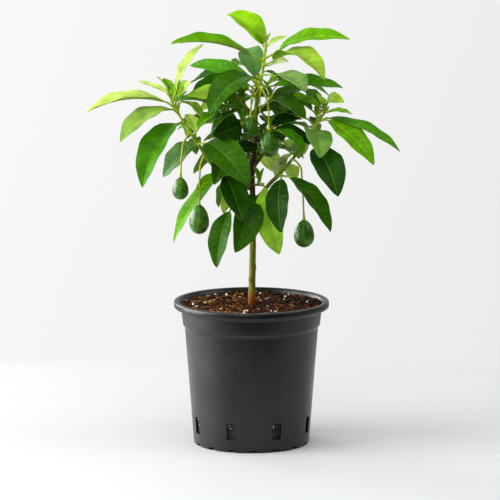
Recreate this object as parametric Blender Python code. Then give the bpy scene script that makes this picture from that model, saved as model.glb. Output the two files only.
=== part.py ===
"""An avocado tree that bears fruit, about knee high, standing in a plastic nursery pot.

The tree is one short trunk that forks into a left and a right bough and goes on to a leader. Leafy masses grow
from the tips of those limbs and from the trunk. Every mass is one stem that carries leaves, twigs and fruit.

Lengths are in millimetres and angles in degrees. A bearing is measured in plan: 0 is +X, the right of the
front view, 90 is +Y, the back, and 270 is the front. A rise is measured up from level. add_object turns
millimetres into Blender's metres.
"""

import math
import random

import bmesh
import bpy
from mathutils import Matrix, Vector
from mathutils.bvhtree import BVHTree
from mathutils.kdtree import KDTree

METRES_PER_MM = 0.001
GAP = 0.3  # clear space between two pieces that touch on the real plant
TOUCHING = 0.001  # corners nearer than this count as one

# The pot, moulded with a rolled lip over a straight collar and a tapering body
POT_HEIGHT = 156.0
LIP_RADIUS = 84.0
LIP_DEPTH = 7.5
LIP_ROUNDING = ((1.5, 7.5), (0.0, 5.7), (0.0, 2.2), (1.6, 0.4), (3.5, 0.0))  # in from its side, down from its top
LIP_INNER_ROUNDING = 2.0
COLLAR_RADIUS = 75.8
COLLAR_FOOT_RADIUS = 74.2
STEP_HEIGHT = 130.0
BODY_TOP_RADIUS = 72.4
BASE_RADIUS = 62.6
STEP_DEPTH = 1.5
BASE_ROUNDING = 1.5
WALL = 2.0
FLOOR = 2.8
POT_SIDES = 48

# Drain slots round the foot of the pot
SLOT_COUNT = 8
SLOT_FIRST_BEARING = 250.0
SLOT_WIDTH = 10.0
SLOT_LOW = 14.0
SLOT_HIGH = 32.0
SLOT_CUT_DEPTH = 12.0

# The potting mix, heaped a little round the trunk
SOIL_EDGE = 147.5
SOIL_CROWN = 152.5
SOIL_CROWN_RADIUS = 9.0
SOIL_MOUND = ((58.0, 0.40), (36.0, 0.75))  # radius, and share of the rise from edge to crown

# The trunk, from the flat cut at the soil to the foot of the leader
TRUNK_FOOT = Vector((0.3, 0.0, SOIL_CROWN + GAP))
TRUNK_STROKES = [
    (0, 89, 37),
    (0, 89, 32),
    (180, 89.5, 61),
    (180, 88, 20),
    (0, 78, 9),
    (0, 87, 54),
    (0, 82, 19),
]
TRUNK_RADIUS = 3.4
TRUNK_TIP_RADIUS = 1.9
FLARE_RADIUS = 5.2  # of the root flare where the trunk meets the soil
FLARE_HEIGHT = 7.0
TRUNK_SIDES = 10

# The two boughs leave the trunk level and then climb, and end where their leafy shoots begin
BOUGHS = {
    "bough_left": dict(height=279.0, strokes=[(184, 0, 3), (184, 30, 24)], radii=(2.5, 2.2)),
    "bough_right": dict(height=268.5, strokes=[(356, 0, 3), (356, 50, 21), (356, 42, 9)], radii=(2.3, 2.0)),
}
LIMB_SIDES = 8
TWIG_SIDES = 5

# Leaves: a petiole that climbs from its node, and a folded blade that arches over
LEAF_WIDTH = 0.42  # of the blade's length
LEAF_BEND = 46.0  # turned through from root to tip
LEAF_FOLD = 18.0  # each half rises this much from the midrib
LEAF_THINNEST = 0.9
LEAF_THICKNESS = 1 / 85  # of the blade's length
BLADE_STATIONS = (0.0, 0.18, 0.45, 0.75)
PETIOLE_SHARE = 0.20  # of the blade's length
PETIOLE_RISE = 36.0  # of a level leaf
PETIOLE_FOLLOW = 0.75  # how far a petiole follows its leaf's own rise
PETIOLE_RADIUS = 0.95

# Fruit and its stalk
FRUIT_SIDES = 10
FRUIT_SHAPE = ((0.00, 0.16), (0.12, 0.50), (0.35, 0.84), (0.62, 1.00), (0.86, 0.66))
STALK_RADIUS = 0.9
STALK_SWELLING = 1.7

# Spacing of the points along each kind of limb
TRUNK_SPACING = 14.0
BOUGH_SPACING = 8.0
STEM_SPACING = 9.0
TWIG_SPACING = 12.0
SUNK = 2.0  # of a leaf, twig or stalk that lies within its stem

# The rule that grows the leaves and twigs that no list sets
GOLDEN_ANGLE = 137.5
CLEARANCE = 0.8  # kept round a blade that the rule sets among the others
RULE_LEAF_LENGTH = (56.0, 82.0)
RULE_LOWEST_RISE = -46.0  # of a leaf at the stem's foot
RULE_RISE_GAIN = 42.0  # from the foot to the tip
RISE_SCATTER = 14.0
FACE_SCATTER = 20.0
LEAF_PLACES = (0.97, 0.12)  # along the stem, of its first and last leaf
LEAF_TRIES = (0, 12, -12, 24, -24, 36, -36, 50, -50, 70, -70)
LEAF_SHRINK = 0.96  # of its length at each try
TWIG_PLACES = (0.35, 0.85)
TWIG_LEAN = (35.0, 65.0)
TWIG_RISE = (25.0, 45.0)
TWIG_LENGTH = (22.0, 32.0)
TWIG_RADII = (1.1, 0.75)
TWIG_LEAF_PLACES = (0.98, 0.85, 0.71)
TWIG_LEAF_TURN = (45.0, 70.0)

# Each mass: where its stem starts, its strokes of (bearing, rise, length), and what it carries.
# A leaf is (place along the stem, bearing, rise, length, how far its face is turned to the front), then, where
# they differ from the rule, its petiole's length and rise and how far the blade bends.
# A fruit is (place, strokes of its stalk, its length and width). A mass ends in its rule's seed, the count of
# leaves and twigs grown by the rule, the bearing that they spread round and how far either side of it.
MASSES = {
    "shoot_top": dict(
        limb="trunk",
        strokes=[(0, 79, 26), (0, 83, 22)],
        radii=(1.8, 1.1),
        reach=112,
        leaves=[
            (0.90, 140, 34, 56, 20, 7, 60, 30),
            (0.64, 203, 9, 88, 5, 19, 30),
            (0.72, 336, 9, 86, 5, 19, 30),
            (0.58, 322, -13, 78, 0, 15, 22, 84),
            (0.92, 311, 38, 30, 0, 7, 48),
            (0.56, 59, -3, 46, 0, 18, 0),
            (0.05, 97, 26, 60, 0, 22, 30),
            (0.14, 145, 7, 78, 5, 14, 24),
            (0.24, 227, -27, 76, 25, 14, 18, 36),
            (0.36, 307, -11, 56, 10, 22, 5),
            (0.02, 348, 0, 80, 8, 16, 16),
            (0.03, 144, -14, 70, 5, 15, 40),
        ],
        fruit=[
            (0.06, [(200, 20, 7), (250, -75, 34)], 23, 16.5),
            (0.04, [(280, 10, 12), (330, -60, 16), (320, -85, 31)], 30, 20.5),
        ],
        rule=dict(seed=11, leaves=6, twigs=0, bearing=88, spread=45),
    ),
    "shoot_left": dict(
        limb="bough_left",
        strokes=[(184, 38, 19), (185, 56, 44), (185, 58, 26), (184, 64, 22)],
        radii=(2.2, 1.0),
        reach=140,
        leaves=[
            (0.92, 323, 57, 56, 0, 14, 66, 12),
            (1.00, 225, 52, 24, 0, 9, 92),
            (0.84, 275, 45, 26, 0, 14, 80),
            (0.90, 143, 11, 48, 0, 12, 65),
            (0.84, 201, -7, 90, 0, 16, 34),
            (0.79, 228, -23, 78, 5, 13, 27),
            (0.67, 235, -43, 84, 5, 15, 8),
            (0.40, 138, -38, 62, 5, 6, 30),
            (0.46, 109, 28, 34, 0, 11, 65),
            (0.80, 55, -31, 42, 0, 13, 60),
            (0.82, 74, 22, 34, 0, 18, 55),
            (0.52, 46, 22, 40, 0, 11, 48),
            (0.44, 312, -30, 80, 35, 14, 8, 24),
            (0.06, 290, -37, 66, 0, 12, -5),
            (0.02, 158, -52, 92, 5, 6, 0),
        ],
        fruit=[
            (0.55, [(220, -5, 5), (190, -60, 10), (190, -84, 33)], 24.5, 17.5),
            (0.30, [(240, -10, 5), (200, -70, 10), (185, -88, 38)], 32.5, 21.5),
        ],
        rule=dict(seed=23, leaves=7, twigs=1, bearing=85, spread=45),
    ),
    "shoot_right": dict(
        limb="bough_right",
        strokes=[(356, 50, 28), (356, 52, 14), (356, 60, 20), (356, 55, 26)],
        radii=(2.0, 1.0),
        reach=130,
        leaves=[
            (0.91, 112, 26, 40, 0, 11, 54),
            (0.97, 301, 1, 36, 5, 12, 62),
            (0.94, 325, -1, 32, 5, 7, 36),
            (0.83, 332, -17, 90, 5, 16, 24),
            (0.86, 308, -30, 80, 5, 18, 8),
            (0.64, 280, -23, 62, 0, 13, 40),
            (0.60, 292, -35, 70, 5, 26, -15),
            (0.88, 140, 8, 56, 0, 14, 44),
            (0.78, 140, -13, 58, 0, 15, 33),
            (0.06, 273, -48, 66, 0, 16, -15),
            (0.03, 315, -41, 78, 5, 18, -3),
            (0.07, 74, -29, 50, 0, 12, 29),
        ],
        fruit=[(0.27, [(320, 8, 5), (340, -48, 10), (345, -86, 57)], 30.5, 22)],
        rule=dict(seed=37, leaves=7, twigs=1, bearing=90, spread=45),
    ),
    "twig_upper_right": dict(
        limb="trunk",
        height=362.0,
        strokes=[(350, 0, 3), (350, 52, 17)],
        radii=(1.3, 0.9),
        reach=95,
        leaves=[
            (0.80, 25, 8, 44, 20, 5, 45),
            (0.84, 308, -14, 60, 10, 5, 26),
        ],
        rule=dict(seed=41, leaves=3, twigs=0, bearing=50, spread=50),
    ),
    "twig_upper_left": dict(
        limb="trunk",
        height=360.0,
        strokes=[(165, 0, 3), (160, 52, 16)],
        radii=(1.3, 0.9),
        reach=95,
        leaves=[
            (0.75, 105, -25, 50, 0, 11, 50),
            (0.16, 132, -6, 60, 0, 5, 0),
        ],
        rule=dict(seed=43, leaves=3, twigs=0, bearing=130, spread=40),
    ),
    "twig_mid_right": dict(
        limb="trunk",
        height=334.0,
        strokes=[(345, 0, 3), (355, 38, 14)],
        radii=(1.3, 0.9),
        reach=95,
        leaves=[
            (0.60, 43, -15, 62, 0, 6, 40),
            (1.00, 200, -2, 36, 55, 17, -65),
        ],
        rule=dict(seed=47, leaves=3, twigs=0, bearing=40, spread=40),
    ),
    "twig_mid_left": dict(
        limb="trunk",
        height=340.0,
        strokes=[(190, 0, 3), (190, 40, 10)],
        radii=(1.3, 0.9),
        reach=95,
        leaves=[(0.90, 239, -18, 48, 0, 6, 20)],
        rule=dict(seed=53, leaves=3, twigs=0, bearing=140, spread=40),
    ),
    "twig_low_left": dict(
        limb="trunk",
        height=269.0,
        strokes=[(215, 0, 3), (205, 0, 14)],
        radii=(1.4, 0.9),
        reach=100,
        leaves=[
            (0.12, 258, -48, 76, 12, 9, 32),
            (0.95, 243, -62, 64, 0, 21, -35),
            (0.85, 112, -36, 42, 0),
        ],
        rule=dict(seed=59, leaves=1, twigs=0, bearing=110, spread=20),
    ),
    "twig_low_right": dict(
        limb="trunk",
        height=283.0,
        strokes=[(300, 0, 3), (310, 10, 8)],
        radii=(1.3, 0.9),
        reach=100,
        leaves=[
            (0.50, 320, -75, 73, 30, 12, -11),
            (0.90, 230, -20, 24, 0, 10, 60),
        ],
        rule=dict(seed=61, leaves=0, twigs=0, bearing=330, spread=30),
    ),
    "branch_back_low": dict(
        limb="trunk",
        height=292.0,
        strokes=[(80, 0, 3), (80, 30, 40), (75, 45, 20)],
        radii=(1.8, 1.0),
        reach=105,
        leaves=[],
        rule=dict(seed=67, leaves=11, twigs=3, bearing=85, spread=110),
    ),
    "branch_back_left": dict(
        limb="trunk",
        height=312.0,
        strokes=[(125, 0, 3), (120, 35, 44), (115, 50, 22)],
        radii=(1.8, 1.0),
        reach=105,
        leaves=[],
        rule=dict(seed=71, leaves=11, twigs=3, bearing=115, spread=100),
    ),
    "branch_back_right": dict(
        limb="trunk",
        height=302.0,
        strokes=[(55, 0, 3), (60, 32, 44), (60, 50, 22)],
        radii=(1.8, 1.0),
        reach=105,
        leaves=[],
        rule=dict(seed=73, leaves=11, twigs=3, bearing=65, spread=100),
    ),
    "branch_back_top": dict(
        limb="trunk",
        height=352.0,
        strokes=[(90, 0, 3), (88, 40, 44), (95, 60, 20)],
        radii=(1.6, 1.0),
        reach=105,
        leaves=[],
        rule=dict(seed=79, leaves=11, twigs=3, bearing=90, spread=110),
    ),
}


def add_material(name, colour, roughness):
    """One Principled material in a plain colour."""
    material = bpy.data.materials.new(name)
    material.use_nodes = True
    shader = material.node_tree.nodes["Principled BSDF"]
    shader.inputs["Base Color"].default_value = (*colour, 1.0)
    shader.inputs["Roughness"].default_value = roughness
    material.diffuse_color = (*colour, 1.0)
    return material


def add_object(name, solid, material, collection=None):
    """Puts a bmesh in millimetres into the scene as an object in metres."""
    bmesh.ops.scale(solid, vec=(METRES_PER_MM,) * 3, verts=solid.verts)
    mesh = bpy.data.meshes.new(name)
    solid.to_mesh(mesh)
    solid.free()
    mesh.materials.append(material)
    made = bpy.data.objects.new(name, mesh)
    (collection or bpy.context.scene.collection).objects.link(made)
    return made


def shade_round(made, edge_angle=35):
    """Smooth shading, with edges sharper than the angle left crisp."""
    made.data.shade_smooth()
    made.data.set_sharp_from_angle(angle=math.radians(edge_angle))


def heading(bearing, rise):
    """The unit vector that points along a bearing and a rise."""
    across, up = math.radians(bearing), math.radians(rise)
    return Vector((math.cos(up) * math.cos(across), math.cos(up) * math.sin(across), math.sin(up)))


def route(foot, strokes, spacing):
    """Points along a limb that starts at foot and follows its strokes, with the bends between them eased."""
    knots = [foot.copy()]
    for bearing, rise, length in strokes:
        knots.append(knots[-1] + heading(bearing, rise) * length)
    points = [knots[0]]
    for i in range(len(knots) - 1):
        here, there = knots[i], knots[i + 1]
        before = knots[i - 1] if i else here - (there - here)
        after = knots[i + 2] if i + 2 < len(knots) else there + (there - here)
        reach = (there - here).length
        leave = (there - before).normalized() * reach
        arrive = (after - here).normalized() * reach
        count = max(1, round(reach / spacing))
        for step in range(1, count + 1):
            t = step / count
            points.append(
                here * (2 * t**3 - 3 * t**2 + 1)
                + leave * (t**3 - 2 * t**2 + t)
                + there * (3 * t**2 - 2 * t**3)
                + arrive * (t**3 - t**2)
            )
    return points


def along(points, place):
    """The point at a share of the way along a run of points."""
    lengths = [(b - a).length for a, b in zip(points, points[1:])]
    left = place * sum(lengths)
    for a, b, length in zip(points, points[1:], lengths):
        if left <= length:
            break
        left -= length
    return a.lerp(b, min(left / length, 1.0))


def skin(rings):
    """A closed solid through rings of points. Its last ring is a single point where it tapers to a tip."""
    solid = bmesh.new()
    rows = [[solid.verts.new(point) for point in ring] for ring in rings]
    for low, high in zip(rows, rows[1:]):
        count = len(low)
        for i in range(count):
            j = (i + 1) % count
            if len(high) == 1:
                solid.faces.new((low[i], low[j], high[0]))
            elif i % 2 == 0:
                solid.faces.new((low[i], low[j], high[j]))
                solid.faces.new((low[i], high[j], high[i]))
            else:
                solid.faces.new((low[i], low[j], high[i]))
                solid.faces.new((low[j], high[j], high[i]))
    solid.faces.new(rows[0])
    if len(rows[-1]) > 1:
        solid.faces.new(rows[-1])
    bmesh.ops.recalc_face_normals(solid, faces=solid.faces)
    return solid


def tube_rings(points, radii, sides):
    """Rings round a run of points, one radius for each."""
    rings = []
    side = (points[1] - points[0]).orthogonal()
    for i, point in enumerate(points):
        ahead = (points[min(i + 1, len(points) - 1)] - points[max(i - 1, 0)]).normalized()
        side = (side - ahead * side.dot(ahead)).normalized()
        other = ahead.cross(side)
        turns = [math.tau * k / sides for k in range(sides)]
        rings.append([point + (side * math.cos(a) + other * math.sin(a)) * radii[i] for a in turns])
    return rings


def tapered(points, first, last):
    """Radii that fall evenly from the first to the last along a run of points."""
    return [first + (last - first) * i / (len(points) - 1) for i in range(len(points))]


def blade_half_width(place, length):
    """Half the width of a blade at a share of the way to its tip: an ellipse with an acute tip."""
    return 0.5 * LEAF_WIDTH * length * math.sin(math.pi * place**0.9) ** 0.85


def leaf_rings(root, leaf, grown=0.0):
    """Rings of four points, edge, top, edge and underside, from a leaf's root to its tip.

    grown makes the leaf that much bigger all round, for testing what it would touch.
    """
    bearing, rise, length, face, stalk, stalk_rise, bend = leaf
    joint = root + heading(bearing, stalk_rise) * stalk
    level = heading(bearing + 90, 0)
    upright = heading(bearing, stalk_rise + 90)
    radius = PETIOLE_RADIUS + grown
    rings = [[root + level * radius, root + upright * radius, root - level * radius, root - upright * radius]]
    axis = heading(bearing, rise)
    turn = Matrix.Rotation(math.radians(face if math.cos(math.radians(bearing)) >= 0 else -face), 3, axis)
    thick = 0.5 * max(LEAF_THINNEST, LEAF_THICKNESS * length) + grown
    fold = math.radians(LEAF_FOLD)
    spine = blade_spine(rise, bearing, length, bend, BLADE_STATIONS + (1.0,))
    for place, (offset, angle) in zip(BLADE_STATIONS, spine):
        half = max(blade_half_width(place, length), PETIOLE_RADIUS) + grown
        normal = heading(bearing, angle + 90)
        lift = normal * (half * math.sin(fold)) if place else normal * 0
        reach = level * (half * math.cos(fold))
        local = [offset + lift + reach, offset + normal * thick, offset + lift - reach, offset - normal * thick]
        rings.append([joint + turn @ point for point in local])
    rings.append([joint + turn @ (spine[-1][0] + axis * grown)])
    return rings


def blade_spine(rise, bearing, length, bend, stations):
    """The midrib's point and slope at each station: an arc whose chord has the leaf's rise and length."""
    bend = math.radians(bend)
    arc = length * (bend / 2) / math.sin(bend / 2)
    radius = arc / bend
    spine = []
    for place in stations:
        turned = bend * place
        chord = 2 * radius * math.sin(turned / 2)
        chord_rise = rise + math.degrees(bend / 2 - turned / 2)
        spine.append((heading(bearing, chord_rise) * chord, rise + math.degrees(bend / 2 - turned)))
    return spine


def whole_leaf(entry):
    """A leaf's values from its entry after the place, with the petiole and the bend that the rule gives."""
    bearing, rise, length, face = entry[:4]
    stalk = entry[4] if len(entry) > 4 else PETIOLE_SHARE * length
    stalk_rise = entry[5] if len(entry) > 5 else PETIOLE_RISE + PETIOLE_FOLLOW * rise
    bend = entry[6] if len(entry) > 6 else LEAF_BEND
    return bearing, rise, length, face, stalk, stalk_rise, bend


def surface(rings):
    """A search tree over the solid through rings, for finding what would touch it."""
    solid = skin(rings)
    tree = BVHTree.FromBMesh(solid)
    solid.free()
    return tree


def tube_surface(points, radii, sides, foot_left_off=0.0):
    """A search tree over a tube grown by the gap, without the first stretch where it is sunk in its stem."""
    first = points[0] + (points[1] - points[0]).normalized() * foot_left_off
    return surface(tube_rings([first] + points[1:], [radius + GAP for radius in radii], sides))


def fruit_rings(top, length, width):
    """Rings of a hanging pear-shaped fruit, from its stalk end down."""
    rings = []
    for place, share in FRUIT_SHAPE:
        centre = top - Vector((0, 0, place * length))
        turns = [math.tau * k / FRUIT_SIDES for k in range(FRUIT_SIDES)]
        rings.append([centre + Vector((math.cos(a), math.sin(a), 0)) * (share * width / 2) for a in turns])
    rings.append([top - Vector((0, 0, length))])
    return rings


class Growth:
    """One mass while it grows: its stem, the rings of all it carries, and what they may not touch."""

    def __init__(self, name, plan, foot):
        self.name = name
        self.plan = plan
        self.stem = route(foot, plan["strokes"], STEM_SPACING)
        self.stem_rings = tube_rings(self.stem, tapered(self.stem, *plan["radii"]), TWIG_SIDES)
        self.centre = along(self.stem, 0.5)
        self.solids = [self.stem_rings]
        self.wood = [tube_surface(self.stem, tapered(self.stem, *plan["radii"]), TWIG_SIDES)]
        self.blades = []
        self.leaves = []
        self.fruit = []

    def holds(self, rings):
        """Whether rings stay in this mass's own space."""
        return all((point - self.centre).length < self.plan["reach"] for ring in rings for point in ring)

    def add_leaf(self, root, leaf, others, clear):
        """Adds a leaf unless it would leave the space or touch a limb, a fruit, a blade or another mass."""
        rings = leaf_rings(root, leaf)
        blade = surface(leaf_rings(root, leaf, clear)[1:])
        entire = surface(leaf_rings(root + heading(leaf[0], leaf[5]) * SUNK, leaf, GAP))
        if any(entire.overlap(tree) or blade.overlap(tree) for tree in others):
            return False
        if any(blade.overlap(tree) for tree in self.blades + self.fruit) or not self.holds(rings):
            return False
        self.solids.append(rings)
        self.blades.append(blade)
        self.leaves.append(entire)
        return True

    def add_fruit(self, place, strokes, length, width):
        """Hangs a fruit on a stalk that thickens where it meets the fruit."""
        root = along(self.stem, place)
        points = route(root, strokes, STEM_SPACING)
        radii = [STALK_RADIUS] * (len(points) - 1) + [STALK_SWELLING]
        sunk = points[-1] - Vector((0, 0, 3))
        stalk = tube_rings(points + [sunk], radii + [STALK_RADIUS], TWIG_SIDES)
        body = fruit_rings(points[-1] + Vector((0, 0, 0.6)), length, width)
        self.solids += [stalk, body]
        self.fruit += [tube_surface(points + [sunk], radii + [STALK_RADIUS], TWIG_SIDES, SUNK), surface(body)]

    def trees(self):
        """Every search tree of this mass."""
        return self.wood + self.leaves + self.fruit


def build_limbs():
    """The routes and rings of the trunk and the boughs."""
    trunk = route(TRUNK_FOOT, TRUNK_STROKES, TRUNK_SPACING)
    trunk.insert(1, trunk[0] + Vector((0, 0, FLARE_HEIGHT)))
    radii = [FLARE_RADIUS] + tapered(trunk[1:], TRUNK_RADIUS, TRUNK_TIP_RADIUS)
    limbs = {"trunk": (trunk, radii, TRUNK_SIDES)}
    for name, bough in BOUGHS.items():
        foot = side_foot(trunk, radii, bough["height"], bough["strokes"][0][0])
        points = route(foot, bough["strokes"], BOUGH_SPACING)
        limbs[name] = (points, tapered(points, *bough["radii"]), LIMB_SIDES)
    return limbs


def side_foot(trunk, radii, height, bearing):
    """Where a limb starts on the trunk's side, clear of the bark."""
    for i in range(len(trunk) - 1):
        if trunk[i + 1].z >= height:
            break
    share = (height - trunk[i].z) / (trunk[i + 1].z - trunk[i].z)
    centre = trunk[i].lerp(trunk[i + 1], share)
    radius = radii[i] + (radii[i + 1] - radii[i]) * share
    return centre + heading(bearing, 0) * (radius + GAP)


def mass_foot(plan, limbs):
    """Where a mass's stem starts: on the trunk's side at a height, or on its limb's tip."""
    points, radii, _ = limbs[plan["limb"]]
    if "height" in plan:
        return side_foot(points, radii, plan["height"], plan["strokes"][0][0])
    return points[-1] + (points[-1] - points[-2]).normalized() * GAP


def grow_by_rule(growth, others):
    """Leaves and twigs along a stem, each turned from the last by the golden angle with some seeded scatter."""
    rule = growth.plan["rule"]
    chance = random.Random(rule["seed"])
    first, last = TWIG_PLACES
    for number in range(rule["twigs"]):
        root = along(growth.stem, first + (last - first) * number / rule["twigs"])
        lean = rule["bearing"] + (-1) ** number * chance.uniform(*TWIG_LEAN)
        points = route(root, [(lean, chance.uniform(*TWIG_RISE), chance.uniform(*TWIG_LENGTH))], TWIG_SPACING)
        radii = tapered(points, *TWIG_RADII)
        tree = tube_surface(points, radii, TWIG_SIDES, SUNK)
        if any(tree.overlap(other) for other in others + growth.blades):
            continue
        growth.solids.append(tube_rings(points, radii, TWIG_SIDES))
        growth.wood.append(tree)
        for side, place in zip((-1, 0, 1), TWIG_LEAF_PLACES):
            turned = lean + side * chance.uniform(*TWIG_LEAF_TURN)
            grow_leaf(growth, along(points, place), turned, 0.8, chance, others)
    bearing = rule["bearing"]
    first, last = LEAF_PLACES
    for number in range(rule["leaves"]):
        place = first + (last - first) * number / rule["leaves"]
        bearing += GOLDEN_ANGLE
        offset = (bearing - rule["bearing"] + 180) % 360 - 180
        turned = rule["bearing"] + offset * rule["spread"] / 180
        grow_leaf(growth, along(growth.stem, place), turned, place, chance, others)


def grow_leaf(growth, root, bearing, place, chance, others):
    """One leaf of the rule: the higher its node, the flatter it lies. It is turned until it finds a free space."""
    length = chance.uniform(*RULE_LEAF_LENGTH)
    for turn in LEAF_TRIES:
        rise = RULE_LOWEST_RISE + RULE_RISE_GAIN * place + chance.uniform(-RISE_SCATTER, RISE_SCATTER)
        entry = (bearing + turn, rise, length, chance.uniform(-FACE_SCATTER, FACE_SCATTER))
        length *= LEAF_SHRINK
        if growth.add_leaf(root, whole_leaf(entry), others, CLEARANCE):
            return


def grow_plant(limbs):
    """All masses: first the leaves and fruit that are set by hand, then what the rule adds behind them."""
    limb_trees = [tube_surface(points, radii, sides) for points, radii, sides in limbs.values()]
    masses = [Growth(name, plan, mass_foot(plan, limbs)) for name, plan in MASSES.items()]

    def neighbours(own):
        return limb_trees + [tree for mass in masses if mass is not own for tree in mass.trees()]

    for mass in masses:
        for fruit in mass.plan.get("fruit", []):
            mass.add_fruit(*fruit)
    for mass in masses:
        for place, *entry in mass.plan["leaves"]:
            mass.add_leaf(along(mass.stem, place), whole_leaf(entry), neighbours(mass), GAP)
    for mass in masses:
        grow_by_rule(mass, neighbours(mass))
    return masses


def outer_shell_only(mesh):
    """Keeps a fused solid's outer shell: sealed hollows inside it are filled and loose scraps dropped."""
    solid = bmesh.new()
    solid.from_mesh(mesh)
    left = set(solid.verts)
    shells = []
    while left:
        shell, edge = set(), [left.pop()]
        while edge:
            vert = edge.pop()
            shell.add(vert)
            for link in vert.link_edges:
                other = link.other_vert(vert)
                if other in left:
                    left.remove(other)
                    edge.append(other)
        shells.append(shell)
    shells.sort(key=len)
    for shell in shells[:-1]:
        bmesh.ops.delete(solid, geom=list(shell), context="VERTS")
    solid.to_mesh(mesh)
    solid.free()


def is_sound(mesh):
    """Whether a fused mesh has faces, two to every edge, and no two corners that all but coincide."""
    solid = bmesh.new()
    solid.from_mesh(mesh)
    closed = bool(solid.faces) and all(len(edge.link_faces) == 2 for edge in solid.edges)
    corners = KDTree(len(solid.verts))
    for number, vert in enumerate(solid.verts):
        corners.insert(vert.co, number)
    corners.balance()
    apart = all(len(corners.find_range(vert.co, TOUCHING * METRES_PER_MM)) == 1 for vert in solid.verts)
    solid.free()
    return closed and apart


def fuse(name, rings_of_solids, material):
    """Joins one mass's solids with one Boolean on a collection, applies it and removes the collection."""
    base = add_object(name, skin(rings_of_solids[0]), material)
    helpers = bpy.data.collections.new(name + "_pieces")
    for number, rings in enumerate(rings_of_solids[1:]):
        add_object(f"{name}_piece_{number}", skin(rings), material, helpers)
    join = base.modifiers.new("join", "BOOLEAN")
    join.operation = "UNION"
    join.operand_type = "COLLECTION"
    join.collection = helpers
    for solver in ("EXACT", "MANIFOLD"):
        join.solver = solver
        depsgraph = bpy.context.evaluated_depsgraph_get()
        fused = bpy.data.meshes.new_from_object(base.evaluated_get(depsgraph))
        outer_shell_only(fused)
        if is_sound(fused):
            break
    base.modifiers.clear()
    base.data = fused
    for piece in list(helpers.objects):
        bpy.data.objects.remove(piece)
    bpy.data.collections.remove(helpers)
    return base


def pot_wall_radius(height):
    """The pot's outer radius at a height, under the lip."""
    if height >= STEP_HEIGHT:
        share = (height - STEP_HEIGHT) / (POT_HEIGHT - LIP_DEPTH - STEP_HEIGHT)
        return COLLAR_FOOT_RADIUS + (COLLAR_RADIUS - COLLAR_FOOT_RADIUS) * min(share, 1.0)
    return BASE_RADIUS + (BODY_TOP_RADIUS - BASE_RADIUS) * height / STEP_HEIGHT


def turned_solid(profile):
    """A solid of revolution round Z from an outline of (radius, height), which starts and ends on the axis."""
    solid = bmesh.new()
    verts = [solid.verts.new((radius, 0, height)) for radius, height in profile]
    edges = [solid.edges.new(pair) for pair in zip(verts, verts[1:])]
    bmesh.ops.spin(
        solid,
        geom=verts + edges,
        cent=(0, 0, 0),
        axis=(0, 0, 1),
        dvec=(0, 0, 0),
        angle=math.tau,
        steps=POT_SIDES,
        use_merge=True,
        use_duplicate=False,
    )
    bmesh.ops.remove_doubles(solid, verts=solid.verts, dist=0.001)
    bmesh.ops.recalc_face_normals(solid, faces=solid.faces)
    return solid


def build_pot(material):
    """The pot: lip, collar, step, tapering body and a flat floor, with drain slots cut through the wall."""
    collar_top = POT_HEIGHT - LIP_DEPTH
    below_step = STEP_HEIGHT - STEP_DEPTH
    profile = [
        (0.0, 0.0),
        (BASE_RADIUS - BASE_ROUNDING, 0.0),
        (BASE_RADIUS, BASE_ROUNDING),
        (pot_wall_radius(below_step), below_step),
        (COLLAR_FOOT_RADIUS, STEP_HEIGHT),
        (COLLAR_RADIUS, collar_top),
        *[(LIP_RADIUS - inward, POT_HEIGHT - down) for inward, down in LIP_ROUNDING],
        (COLLAR_RADIUS + 1.0, POT_HEIGHT),
        (COLLAR_RADIUS - WALL, POT_HEIGHT - LIP_INNER_ROUNDING),
        (COLLAR_RADIUS - WALL, collar_top),
        (COLLAR_FOOT_RADIUS - WALL, STEP_HEIGHT),
        (pot_wall_radius(below_step) - WALL, below_step - 1.0),
        (pot_wall_radius(FLOOR) - WALL, FLOOR),
        (0.0, FLOOR),
    ]
    pot = add_object("pot", turned_solid(profile), material)
    middle = 0.5 * (SLOT_LOW + SLOT_HIGH)
    slots = bmesh.new()
    for number in range(SLOT_COUNT):
        bearing = math.radians(SLOT_FIRST_BEARING + 360 * number / SLOT_COUNT)
        place = Matrix.Rotation(bearing, 4, "Z") @ Matrix.Translation((pot_wall_radius(middle), 0, middle))
        size = Matrix.Diagonal((SLOT_CUT_DEPTH, SLOT_WIDTH, SLOT_HIGH - SLOT_LOW, 1))
        bmesh.ops.create_cube(slots, size=1, matrix=place @ size)
    cutter = add_object("slot_cutter", slots, material)
    cutter.hide_render = True
    cutter.display_type = "WIRE"
    cut = pot.modifiers.new("slots", "BOOLEAN")
    cut.operation = "DIFFERENCE"
    cut.object = cutter
    cut.solver = "EXACT"
    shade_round(pot)


def build_soil(material):
    """The potting mix that fills the pot, clear of its wall all round."""
    def inside(height):
        return pot_wall_radius(height) - WALL - GAP

    below_step = STEP_HEIGHT - STEP_DEPTH
    rise = SOIL_CROWN - SOIL_EDGE
    profile = [
        (0.0, FLOOR + GAP),
        (inside(FLOOR + GAP), FLOOR + GAP),
        (inside(below_step), below_step - 1.0 - GAP),
        (COLLAR_FOOT_RADIUS - WALL - GAP, STEP_HEIGHT),
        (inside(SOIL_EDGE), SOIL_EDGE),
        *[(radius, SOIL_EDGE + share * rise) for radius, share in SOIL_MOUND],
        (SOIL_CROWN_RADIUS, SOIL_CROWN),
        (0.0, SOIL_CROWN),
    ]
    shade_round(add_object("soil", turned_solid(profile), material))


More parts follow.
